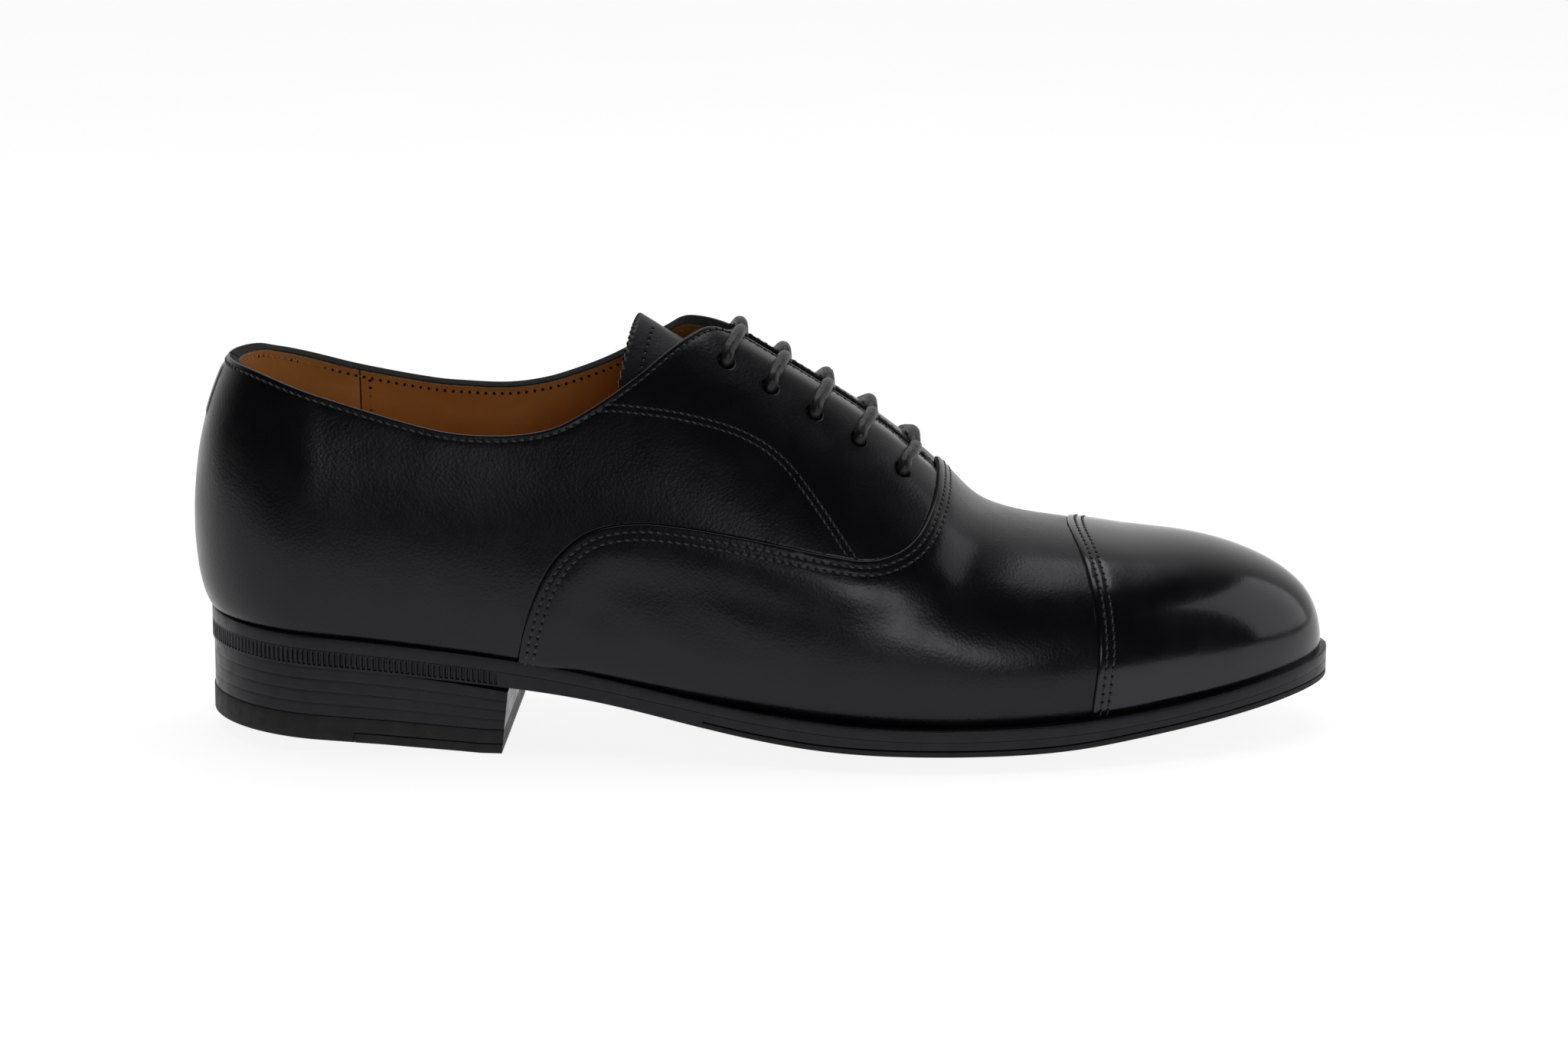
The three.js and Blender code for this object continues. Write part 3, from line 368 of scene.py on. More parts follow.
def topline_seam(side):
    s = np.linspace(0, station(142.9), 240)
    places = np.stack([s, topline_place(side, s)], -1)
    return Seam(places, lambda p, s, t: p[:, 2] < topline_z(side, p[:, 0]), 1)


def facing_seam(side):
    x = np.linspace(136, 198.5, 120)
    s = station(x)
    places = np.stack([s, radius_place(side, s, gap_half(x))], -1)

    def inside(p, s, t):
        return (p[:, 0] < 110) | (np.abs(p[:, 1] - CENTRE_Y(s)) > gap_half(p[:, 0]))
    return Seam(places, inside, 1)


VAMP_LINE = seam_in_view(VAMP_SEAM)
CAP_LINE = seam_in_view(CAP_SEAM)
TOP_LINE = {side: topline_seam(side) for side in SIDES}
FACING = {side: facing_seam(side) for side in SIDES}


def lining_split(s, t):
    p = surface(s, t)
    (x0, z0), (x1, z1) = LINING_SPLIT
    size = math.hypot(x1 - x0, z1 - z0)
    return ((p[:, 0] - x0) * (z1 - z0) - (p[:, 2] - z0) * (x1 - x0)) / size


def free_edge(side):
    """Distance inside a quarter from its topline and its facing."""
    return lambda s, t: np.minimum(TOP_LINE[side](s, t), FACING[side](s, t))


def hole_place(side, row):
    s = station(142.4 + 11.6 * row)
    return s, float(radius_place(side, np.array([s]), 18.6 + 0.8 * row)[0])


def hole_distance(side, radius):
    centres = [surface(*hole_place(side, row)) for row in HOLES]

    def field(s, t):
        p = surface(s, t)
        return np.min([np.linalg.norm(p - c, axis=-1) for c in centres], axis=0) - radius
    return field


# ---------------------------------------------------------------- meshes
def spaced(a, b, step):
    return np.linspace(a, b, max(int(round(abs(b - a) / step)), 1) + 1)


class Patch:
    """Polygons in the (s, t) plane, cut along level lines of fields."""

    def __init__(self, s_values, t_values):
        s, t = np.meshgrid(s_values, t_values, indexing="ij")
        self.s, self.t = s.ravel(), t.ravel()
        rows, columns = s.shape
        i, j = np.meshgrid(np.arange(rows - 1), np.arange(columns - 1), indexing="ij")
        a = (i * columns + j).ravel()
        self.polygons = np.stack([a, a + columns, a + columns + 1, a + 1], -1).tolist()

    def cut(self, field, level=0.0, keep="both"):
        """Splits the polygons where field = level. keep is "above", "below" or "both"."""
        values = field(self.s, self.t) - level
        values = np.where(np.abs(values) < 1e-4, 1e-4, values)
        high = (values > 0).tolist()
        fresh, polygons, first = {}, [], len(self.s)
        for polygon in self.polygons:
            flags = [high[i] for i in polygon]
            if all(flags):
                if keep != "below":
                    polygons.append(polygon)
                continue
            if not any(flags):
                if keep != "above":
                    polygons.append(polygon)
                continue
            above, below = [], []
            for i, a in enumerate(polygon):
                b = polygon[(i + 1) % len(polygon)]
                (above if high[a] else below).append(a)
                if high[a] != high[b]:
                    new = fresh.setdefault((min(a, b), max(a, b)), first + len(fresh))
                    above.append(new)
                    below.append(new)
            if keep != "below" and len(above) > 2:
                polygons.append(above)
            if keep != "above" and len(below) > 2:
                polygons.append(below)
        self.polygons = polygons
        if fresh:
            self.add_between(np.array(list(fresh)), values, field, level)
        return self

    def add_between(self, edges, values, field, level):
        a, b = edges.T
        low, high = np.zeros(len(edges)), np.ones(len(edges))
        v_low, v_high = values[a], values[b]
        for _ in range(4):
            w = low + (high - low) * np.clip(v_low / (v_low - v_high), 0.02, 0.98)
            s = self.s[a] + (self.s[b] - self.s[a]) * w
            t = self.t[a] + (self.t[b] - self.t[a]) * w
            v = field(s, t) - level
            same = (v > 0) == (v_low > 0)
            low, v_low = np.where(same, w, low), np.where(same, v, v_low)
            high, v_high = np.where(same, high, w), np.where(same, v_high, v)
        self.s = np.concatenate([self.s, s])
        self.t = np.concatenate([self.t, t])

    def rings(self, field, levels):
        for level in levels:
            self.cut(field, level)
        return self

    def used(self):
        """Only the points that polygons use; the ones at the toe's tip become one."""
        ids = np.unique([i for polygon in self.polygons for i in polygon])
        tip = ids[self.s[ids] > TOE_END - 1e-6]
        renamed = {int(i): k for k, i in enumerate(ids)}
        if len(tip):
            for i in tip:
                renamed[int(i)] = renamed[int(tip[0])]
        polygons = []
        for polygon in self.polygons:
            line = [renamed[i] for i in polygon]
            line = [v for k, v in enumerate(line) if v != line[k - 1]]
            if len(line) > 2:
                polygons.append(line)
        return self.s[ids], self.t[ids], polygons


def border(polygons):
    edges = {}
    for polygon in polygons:
        for i, a in enumerate(polygon):
            edges[(polygon[i - 1], a)] = True
    return [(a, b) for a, b in edges if (b, a) not in edges]


def add_mesh(name, points, faces, materials, indices=None, sharp=50):
    mesh = bpy.data.meshes.new(name)
    rows = (np.asarray(points) - ORIGIN) * MM
    mesh.from_pydata(rows.tolist(), [], faces)
    for m in materials:
        mesh.materials.append(m)
    if indices is not None:
        mesh.polygons.foreach_set("material_index", indices)
    mesh.validate()
    mesh.shade_smooth()
    if sharp:
        mesh.set_sharp_from_angle(angle=math.radians(sharp))
    obj = bpy.data.objects.new(name, mesh)
    bpy.context.collection.objects.link(obj)
    return obj


def merge_close(obj, distance=2e-5):
    """Joins points that lie together and drops what has no area."""
    bm = bmesh.new()
    bm.from_mesh(obj.data)
    bmesh.ops.remove_doubles(bm, verts=bm.verts, dist=distance)
    bmesh.ops.dissolve_degenerate(bm, edges=bm.edges, dist=distance / 4)
    bmesh.ops.recalc_face_normals(bm, faces=bm.faces)
    bm.to_mesh(obj.data)
    bm.free()
    return obj


def unevenness(p):
    """The slow waviness of pulled leather, a few hundredths of a millimetre."""
    x, y, z = p.T
    slow = np.sin(x / 7.1 + 1.3 * np.sin(z / 9.7)) * np.sin(z / 6.3 + y / 11 + 1.7)
    quick = np.sin(x / 2.9 + z / 4.1 + 0.4) * np.sin(z / 3.3 - x / 5.7 + y / 4.3)
    return 0.035 * slow + 0.012 * quick


def shell(name, patch, height, thickness, materials):
    """A closed sheet of leather on the last. height and thickness are functions of (s, t)."""
    s, t, polygons = patch.used()
    base, n = surface(s, t), normals(s, t)
    up = height(s, t) + unevenness(base)
    top = base + n * up[:, None]
    bottom = base + n * (up - thickness(s, t))[:, None]
    count = len(s)
    walls = [[b, a, a + count, b + count] for a, b in border(polygons)]
    under = [[i + count for i in reversed(polygon)] for polygon in polygons]
    faces = polygons + walls + under
    indices = [0] * len(polygons) + [1] * len(walls) + [min(2, len(materials) - 1)] * len(under)
    return merge_close(add_mesh(name, np.vstack([top, bottom]), faces, materials, indices))


def swept(name, rows, materials, sharp=50, index_of=None):
    """A closed body through rows of section points. Each row is a loop; caps join the loop's two halves."""
    rows = np.asarray(rows)
    count, size = rows.shape[:2]
    faces = []
    for a in range(0, (count - 1) * size, size):
        b = a + size
        faces += [[a + k, b + k, b + (k + 1) % size, a + (k + 1) % size] for k in range(size)]
    for a in (0, (count - 1) * size):
        faces += [[a + k, a + k + 1, a + size - 2 - k, a + size - 1 - k] for k in range(size // 2 - 1)]
    indices = None if index_of is None else [index_of(face) for face in faces]
    return merge_close(add_mesh(name, rows.reshape(-1, 3), faces, materials, indices, sharp))


# ---------------------------------------------------------------- materials
def add_node(tree, kind, **values):
    node = tree.nodes.new("ShaderNode" + kind)
    for key, value in values.items():
        node.inputs[key.replace("_", " ")].default_value = value
    return node


class Nodes:
    """Short names for the nodes of one material."""

    def __init__(self, name, **sockets):
        self.material = bpy.data.materials.new(name)
        self.material.use_nodes = True
        self.tree = self.material.node_tree
        self.shader = self.tree.nodes["Principled BSDF"]
        for key, value in sockets.items():
            self.shader.inputs[key.replace("_", " ")].default_value = value
        self.place = add_node(self.tree, "TexCoord").outputs["Object"]

    def link(self, output, socket):
        self.tree.links.new(output, socket)

    def noise(self, scale, detail=3.0, distortion=0.0, stretch=None):
        node = add_node(self.tree, "TexNoise", Scale=scale, Detail=detail, Distortion=distortion)
        place = self.place
        if stretch:
            mapping = add_node(self.tree, "Mapping", Scale=stretch)
            self.link(place, mapping.inputs["Vector"])
            place = mapping.outputs["Vector"]
        self.link(place, node.inputs["Vector"])
        return node.outputs["Fac"]

    def cells(self, scale, smooth):
        node = self.tree.nodes.new("ShaderNodeTexVoronoi")
        node.feature = "SMOOTH_F1"
        node.inputs["Scale"].default_value = scale
        node.inputs["Smoothness"].default_value = smooth
        self.link(self.place, node.inputs["Vector"])
        return node.outputs["Distance"]

    def bands(self, scale, direction, distortion):
        node = add_node(self.tree, "TexWave", Scale=scale, Distortion=distortion)
        node.bands_direction = direction
        self.link(self.place, node.inputs["Vector"])
        return node.outputs["Fac"]

    def spread(self, value, low, high):
        """A noise value, most of which lies between 0.3 and 0.7, as one between low and high."""
        node = add_node(self.tree, "MapRange", From_Min=0.3, From_Max=0.7, To_Min=low, To_Max=high)
        self.link(value, node.inputs["Value"])
        return node.outputs["Result"]

    def color(self, value, *stops):
        """The base colour: a ramp over value, through (place, colour) stops."""
        node = add_node(self.tree, "ValToRGB")
        for element, (position, color) in zip(node.color_ramp.elements, stops):
            element.position = position
            element.color = (*color, 1)
        self.link(value, node.inputs["Fac"])
        self.link(node.outputs["Color"], self.shader.inputs["Base Color"])

    def roughness(self, value, low, high):
        self.link(self.spread(value, low, high), self.shader.inputs["Roughness"])

    def bump(self, *layers):
        """Each layer is (height, distance in metres)."""
        normal = None
        for height, distance in layers:
            node = add_node(self.tree, "Bump", Strength=1.0, Distance=distance)
            self.link(height, node.inputs["Height"])
            if normal is not None:
                self.link(normal, node.inputs["Normal"])
            normal = node.outputs["Normal"]
        self.link(normal, self.shader.inputs["Normal"])


COOL = (0.94, 0.92, 1, 1)                # the black leather's reflections are faintly violet


def calf(name, grain, rough, coat, shine=0.34):
    n = Nodes(name, Specular_IOR_Level=shine, Specular_Tint=COOL, Coat_Weight=coat,
              Coat_Roughness=0.1)
    n.color(n.noise(70, 4), (0.3, (.0024, .0022, .0030)), (0.75, (.0040, .0037, .0046)))
    n.roughness(n.noise(110, 4), rough - 0.03, rough + 0.05)
    n.bump((n.noise(90, 2), grain * 1.5), (n.cells(1250, 0.7), grain), (n.noise(2600, 3), grain * 0.4))
    return n.material


def suede(name, low, high):
    n = Nodes(name, Roughness=0.95, Specular_IOR_Level=0.2, Sheen_Weight=0.05, Sheen_Roughness=0.5)
    n.color(n.noise(900, 5), (0.3, low), (0.75, high))
    n.bump((n.noise(1500, 4), 1.5e-4), (n.noise(400, 3), 1.2e-4))
    return n.material


def lining_leather(name, low, high):
    n = Nodes(name, Specular_IOR_Level=0.35)
    n.color(n.noise(45, 6, 0.4), (0.25, low), (0.8, high))
    n.roughness(n.noise(160, 4), 0.48, 0.66)
    n.bump((n.noise(120, 4, 0.5), 9e-5), (n.cells(1300, 0.5), 3e-5))
    return n.material


def thread(name, low, high):
    n = Nodes(name, Roughness=0.55, Sheen_Weight=0.15)
    n.color(n.noise(700, 2), (0.35, low), (0.7, high))
    n.bump((n.bands(900, "DIAGONAL", 0.6), 4e-5))
    return n.material


def waxed_edge():
    n = Nodes("waxed_sole_edge", Specular_IOR_Level=0.27, Specular_Tint=COOL)
    n.color(n.noise(120, 5), (0.3, (.0026, .0025, .0032)), (0.8, (.0056, .0053, .0062)))
    n.roughness(n.noise(260, 4), 0.26, 0.44)
    n.bump((n.noise(500, 4, 0.0, (0.25, 0.25, 2.0)), 4e-5), (n.noise(1800, 3), 1.2e-5))
    return n.material


def rubber():
    n = Nodes("sole_rubber", Specular_IOR_Level=0.25)
    n.color(n.noise(200, 4), (0.3, (.0045, .0045, .0052)), (0.8, (.0080, .0080, .0088)))
    n.roughness(n.noise(300, 3), 0.5, 0.66)
    n.bump((n.noise(1400, 4), 3e-5))
    return n.material


def waxed_cord():
    n = Nodes("waxed_lace", Specular_IOR_Level=0.42)
    n.color(n.noise(600, 3), (0.3, (.0025, .0025, .0028)), (0.8, (.0105, .0102, .0108)))
    n.roughness(n.noise(500, 3), 0.34, 0.48)
    n.bump((n.noise(2400, 3), 4e-5))
    return n.material


def plain_metal(name, low, high, rough):
    n = Nodes(name, Metallic=1.0)
    n.color(n.noise(150, 4), (0.3, low), (0.8, high))
    n.roughness(n.noise(400, 3), rough - 0.06, rough + 0.1)
    n.bump((n.noise(900, 3, 0.0, (1, 8, 1)), 1e-5))
    return n.material


def board(name, low, high, scale):
    n = Nodes(name, Roughness=0.9)
    n.color(n.cells(scale, 0.3), (0.1, low), (0.8, high))
    n.bump((n.noise(scale * 2, 4), 1.5e-4))
    return n.material


def plastic_tip():
    n = Nodes("lace_tip", Coat_Weight=0.4)
    n.color(n.noise(300, 2), (0.3, (.004, .004, .004)), (0.8, (.009, .009, .009)))
    n.roughness(n.noise(500, 3), 0.14, 0.26)
    n.bump((n.noise(700, 2), 2e-5))
    return n.material


BLACK = calf("black_calf", 2.8e-5, 0.27, 0.04, 0.26)
TONGUE = calf("tongue_calf", 4.5e-5, 0.42, 0.05)
POLISHED = calf("polished_calf", 1.0e-5, 0.18, 0.2, 0.34)
RAW = suede("raw_black_edge", (.0040, .0038, .0038), (.0150, .0135, .0125))
TAN = lining_leather("tan_lining", (.400, .150, .030), (.560, .245, .058))
GRIP = lining_leather("tan_grip", (.440, .185, .046), (.600, .290, .085))
TAN_EDGE = suede("tan_raw_edge", (.210, .105, .045), (.420, .240, .120))
BLACK_THREAD = thread("black_thread", (.007, .007, .008), (.024, .023, .024))
TAN_THREAD = thread("tan_thread", (.330, .170, .065), (.520, .300, .130))
WAXED = waxed_edge()
RUBBER = rubber()
CORD = waxed_cord()
TIP = plastic_tip()
# Matte near-black for the needle-hole cups: painted shade, standing in for the shade inside the holes.
PAINTED_HOLE_SHADE = suede("needle_hole_painted_shade", (.0010, .0010, .0010), (.0022, .0020, .0020))
# Eyelet brass, its colour darkened far below brass's own so that the lace holes read dark: painted shade.
DARKENED_BRASS = plain_metal("darkened_brass_painted_shade", (.030, .021, .010), (.060, .042, .018), 0.45)
STEEL = plain_metal("steel", (.30, .31, .32), (.55, .56, .57), 0.32)
CORK = board("cork", (.16, .085, .035), (.42, .25, .12), 700)
STIFF = board("stiffener", (.42, .32, .20), (.62, .50, .34), 1200)
INSOLE = board("insole_leather", (.36, .22, .11), (.56, .38, .21), 900)


# ---------------------------------------------------------------- bodies and slots
def finish_piece(piece, slot, *nodes, body=None):
    """Hides the CAD nodes that the piece replaces. A piece with no body keeps its place; one with a body
    rides on it.
    """
    if nodes:
        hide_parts(*nodes)
    if body is None:
        start, end = (((x - ORIGIN[0]) * MM, 0, 0) for x in BEND)
        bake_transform(piece)
        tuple(start)
        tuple(end)
    else:
        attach(piece, body)
    return piece


def rounded(distance, radius=0.5):
    """How far a rounded edge drops at this distance inside it."""
    inside = np.clip(distance / radius, 0, 1)
    return radius * (1 - np.sqrt(np.clip(1 - (1 - inside) ** 2, 0, 1)))


def groove(distance, centre, depth, width=0.45):
    return depth * np.exp(-((distance - centre) / width) ** 2)


def lapped(distance, edge=EDGE, end=18):
    """Height of an upper piece whose edge laps over another: a full edge, two stitch channels, then down."""
    d = np.maximum(distance, 0)
    step = edge * (1 - smoothstep(5.5, end, d))
    return step - rounded(d, min(edge, 0.5)) - groove(d, 2, 0.09) - groove(d, 4, 0.08)


def cap_lap(distance):
    return lapped(distance, CAP_EDGE, CAP_FADE)


def drawn_in(side):
    """The lace pulls the facings down a little along their edges."""
    return lambda s, t: -FACING_DROP * smoothstep(10, 0.5, FACING[side](s, t))


TUCK_RINGS = (-1.3, -0.7, -0.2, 0.5)
LAP_RINGS = (0.08, 0.22, 0.5, 1.4, 2.0, 2.6, 3.4, 4.0, 4.6, 6.5)


def tucked(distance):
    """A sheet goes down a little where another laps over it."""
    return -0.5 * smoothstep(-0.2, 0.5, distance)


def quarter(side):
    edge = free_edge(side)
    holes = hole_distance(side, HOLE_R)
    t_values = spaced(0, 1, LEATHER_STEP) if side == LATERAL else spaced(1, 2, LEATHER_STEP)
    s_values = np.concatenate([spaced(0, station(134), 1.5), spaced(station(134), station(202), 0.9)[1:]])
    patch = Patch(s_values, t_values)
    patch.cut(edge, keep="above").cut(VAMP_LINE, 3.0, keep="below").cut(holes, keep="above")
    patch.rings(edge, (0.1, 0.3, 0.6, 1.1, 1.6, 2.1, 4.0)).rings(VAMP_LINE, TUCK_RINGS)
    patch.rings(holes, (0.12, 0.35, 0.9))
    drawn = drawn_in(side)

    def height(s, t):
        e, h = edge(s, t), holes(s, t)
        sheet = tucked(VAMP_LINE(s, t)) - rounded(e) - rounded(h, 0.35)
        return sheet - groove(e, 1.6, 0.12) + drawn(s, t)

    def thickness(s, t):
        skived = 0.3 * smoothstep(-1, 1, VAMP_LINE(s, t))
        return QUARTER + (RIM - QUARTER) * smoothstep(5.5, 4.0, edge(s, t)) - skived

    name = SIDES[side]
    piece = shell(f"quarter_{name}_leather", patch, height, thickness, [BLACK, RAW, RAW])
    finish_piece(piece, "black_calf", f"quarter_{name}", f"facing_stay_{name}")


def vamp():
    patch = Patch(spaced(station(84), station(246), 1.3), spaced(0, 2, LEATHER_STEP))
    patch.cut(VAMP_LINE, keep="above").cut(CAP_LINE, 3.0, keep="below")
    patch.rings(VAMP_LINE, LAP_RINGS).rings(CAP_LINE, TUCK_RINGS)

    def height(s, t):
        return lapped(VAMP_LINE(s, t)) + tucked(CAP_LINE(s, t)) + creases(s, t)

    def thickness(s, t):
        return LEATHER - 0.3 * smoothstep(-1, 1, CAP_LINE(s, t))

    piece = shell("vamp_leather", patch, height, thickness, [BLACK, RAW, RAW])
    finish_piece(piece, "black_calf", "vamp")


def creases(s, t):
    """Faint pulls in the leather on both sides of the waist."""
    p = surface(s, t)
    x, z = p[:, 0], p[:, 2]
    where = np.exp(-((x - 138) / 26) ** 2) * np.exp(-((z - 36) / 13) ** 2)
    return 0.06 * where * np.sin((x * 0.55 + z) / 2.3)


def toe_cap():
    s_values = np.concatenate([spaced(station(228), TOE_START, 1.3), spaced(TOE_START, TOE_END, 1.2)[1:]])
    patch = Patch(s_values, spaced(0, 2, LEATHER_STEP))
    patch.cut(CAP_LINE, keep="above").rings(CAP_LINE, LAP_RINGS)
    piece = shell("toe_cap_leather", patch, lambda s, t: cap_lap(CAP_LINE(s, t)), constant(LEATHER),
                  [POLISHED, RAW, RAW])
    finish_piece(piece, "polished_calf", "toe_cap")


def constant(value):
    return lambda s, t: np.full(np.shape(s), float(value))


def box_field(half, low, high):
    """Distance inside a band round the back: |s| < half and low < z < high."""
    def field(s, t):
        z = surface(s, t)[:, 2]
        return np.minimum(half - np.abs(s), np.minimum(z - low, high - z))
    return field


TAB_HALF, TAB_LOW, TAB_HIGH = 8.5, 84, 98.4


def heel_tab():
    field = box_field(TAB_HALF, TAB_LOW, TAB_HIGH)
    patch = Patch(spaced(-16, 16, 1), spaced(0.3, 0.9, 1 / 90))
    patch.cut(field, keep="above").rings(field, (0.1, 0.3, 0.6, 1.2, 1.7, 2.2))

    def height(s, t):
        return 0.34 * smoothstep(0, 1.7, field(s, t)) - 0.03

    piece = shell("heel_tab_leather", patch, height, constant(0.5), [BLACK, RAW, RAW])
    finish_piece(piece, "black_calf", "heel_tab", body="shoe")


# ---------------------------------------------------------------- linings
GRIP_END = 61


def quarter_lining(side):
    edge = free_edge(side)
    holes = hole_distance(side, HOLE_R)
    t_values = spaced(0, 1, LINING_STEP) if side == LATERAL else spaced(1, 2, LINING_STEP)
    front = station(134)
    patch = Patch(np.concatenate([spaced(GRIP_END + 0.4, front, 2.4), spaced(front, station(206), 1.6)[1:]]),
                  t_values)
    patch.cut(edge, 0.45, keep="above").cut(lining_split, -0.2, keep="below").cut(holes, keep="above")
    patch.rings(edge, (0.8, 1.6, 2.4))
    name = SIDES[side]

    drawn = drawn_in(side)

    def height(s, t):
        return LINING_FACE + drawn(s, t)

    piece = shell(f"quarter_lining_{name}_leather", patch, height, constant(LINING), [TAN, TAN_EDGE, TAN])
    finish_piece(piece, "tan_lining", f"quarter_lining_{name}")


def heel_grip():
    def edge(s, t):
        lateral = TOP_LINE[LATERAL](np.abs(s), t)
        medial = TOP_LINE[MEDIAL](np.abs(s), 2 - t)
        return np.where(s >= 0, lateral, medial)
    patch = Patch(spaced(-GRIP_END, GRIP_END, 2), spaced(0, 1, LINING_STEP))
    patch.cut(edge, 0.45, keep="above").rings(edge, (0.8, 1.6, 2.4))

    def height(s, t):
        z = surface(s, t)[:, 2]
        ripple = 0.12 * np.sin(z / 3.1 + np.abs(s) / 6) * np.sin(np.abs(s) / 4.3 + 0.6)
        return LINING_FACE + ripple * smoothstep(1, 5, edge(s, t))

    piece = shell("heel_grip_leather", patch, height, constant(LINING), [GRIP, TAN_EDGE, GRIP])
    finish_piece(piece, "tan_lining", "heel_grip_lining", body="shoe")


def vamp_lining():
    s_values = np.concatenate([spaced(station(146), TOE_START, 2.2), spaced(TOE_START, TOE_END, 2)[1:]])
    patch = Patch(s_values, spaced(0, 2, LINING_STEP))
    patch.cut(lining_split, 0.2, keep="above")
    piece = shell("vamp_lining_leather", patch, constant(LINING_FACE), constant(LINING),
                  [TAN, TAN_EDGE, TAN])
    finish_piece(piece, "tan_lining", "vamp_lining")


# ---------------------------------------------------------------- stitches
def along_line(places, pitch):
    """Evenly spaced (s, t) along a line of places."""
    p = surface(places[:, 0], places[:, 1])
    travelled = length_along(p)
    count = max(int(travelled[-1] / pitch), 1)
    return resampled((np.arange(count) + 0.5) * travelled[-1] / count, travelled, places)


def beside(places, distance):
    """The line moved over the surface, to the side that s x t turns to; a negative distance goes back."""
    s, t = places.T
    p, n = surface(s, t), normals(s, t)
    direction = unit(np.gradient(p, axis=0))
    goal = p + np.cross(n, direction) * distance
    for _ in range(6):
        here = surface(s, t)
        ds = (surface(s + 0.2, t) - surface(s - 0.2, t)) / 0.4
        dt = (surface(s, t + 0.002) - surface(s, t - 0.002)) / 0.004
        a, b, c = (ds * ds).sum(-1), (ds * dt).sum(-1), (dt * dt).sum(-1)
        u, v = ((goal - here) * ds).sum(-1), ((goal - here) * dt).sum(-1)
        scale = np.maximum(a * c - b * b, 1e-9)
        s = s + (c * u - b * v) / scale
        t = np.clip(t + (a * v - b * u) / scale, 0.0, 2.0)
    return np.stack([s, t], -1)


RING = 6                                 # points round a thread and round a needle hole
SLANT = math.radians(11)
THREAD_R, THREAD_SINK, HOLE_DEPTH = 0.25, 0.05, 0.25


def stitches(name, centres, directions, ups, material, length=1.6, pitch=PITCH):
    """Short slanting threads that dive into needle holes at both ends. Each needle hole is a dark cup whose
    top sits just over the leather: painted shade.
    """
    profile = ((-0.5, 0.3, -0.42), (-0.42, 0.8, -0.12), (-0.2, 1.0, 0.03), (0.2, 1.0, 0.03),
               (0.42, 0.8, -0.12), (0.5, 0.3, -0.42))     # along the stitch, swelling, lift
    directions, ups = unit(directions), unit(ups)
    across = unit(np.cross(directions, ups))
    ups = np.cross(across, directions)
    points, faces, indices = [], [], []
    turns = np.arange(RING) * 2 * math.pi / RING
    for c, d, u, a in zip(centres, directions, ups, across):
        base = len(points)
        slanted = d * math.cos(SLANT) + a * math.sin(SLANT)
        side = a * math.cos(SLANT) - d * math.sin(SLANT)
        for shift, swell, lift in profile:
            middle = c + slanted * shift * length + u * (lift - THREAD_SINK)
            points += [middle + (side * math.cos(w) + u * math.sin(w)) * THREAD_R * swell for w in turns]
        for j in range(len(profile) - 1):
            for k in range(RING):
                p, q = base + j * RING + k, base + j * RING + (k + 1) % RING
                faces.append([p, q, q + RING, p + RING])
        faces.append([base + k for k in reversed(range(RING))])
        faces.append([base + len(profile) * RING - RING + k for k in range(RING)])
        indices += [0] * (len(profile) * RING - RING + 2)
        # Each needle hole is a dark cup just over the leather: painted shade where the hole's own shade
        # would be.
        hole = c + d * pitch / 2 + u * 0.03
        rim = len(points)
        points += [hole + (d * math.cos(w) * 1.1 + a * math.sin(w) * 1.3) * SHADE_DISC_RADIUS for w in turns]
        points += [hole - u * HOLE_DEPTH + (d * math.cos(w) + a * math.sin(w)) * SHADE_DISC_RADIUS * 0.6
                   for w in turns]
        faces += [[rim + k, rim + (k + 1) % RING, rim + RING + (k + 1) % RING, rim + RING + k]
                  for k in range(RING)]
        faces += [[rim + k for k in reversed(range(RING))], [rim + RING + k for k in range(RING)]]
        indices += [1] * (RING + 2)
    return add_mesh(name, np.array(points), faces, [material, PAINTED_HOLE_SHADE], indices, sharp=0)


def sewn(name, places, height, material, body=None, slot="black_calf", inward=False, pitch=PITCH,
         length=1.6):
    """A row of stitches along places, on a sheet whose height is a function of (s, t)."""
    at = along_line(places, pitch)
    p, n = surface(at[:, 0], at[:, 1]), normals(at[:, 0], at[:, 1])
    centres = p + n * np.asarray(height(at[:, 0], at[:, 1]))[:, None]
    directions = np.gradient(p, axis=0)
    piece = stitches(name, centres, directions, -n if inward else n, material, length, pitch)
    finish_piece(piece, slot, body=body)


def trimmed(places, *fields):
    """Only the places where every field is above its level."""
    kept = np.ones(len(places), bool)
    for field, level in fields:
        kept &= field(places[:, 0], places[:, 1]) > level
    return places[kept]


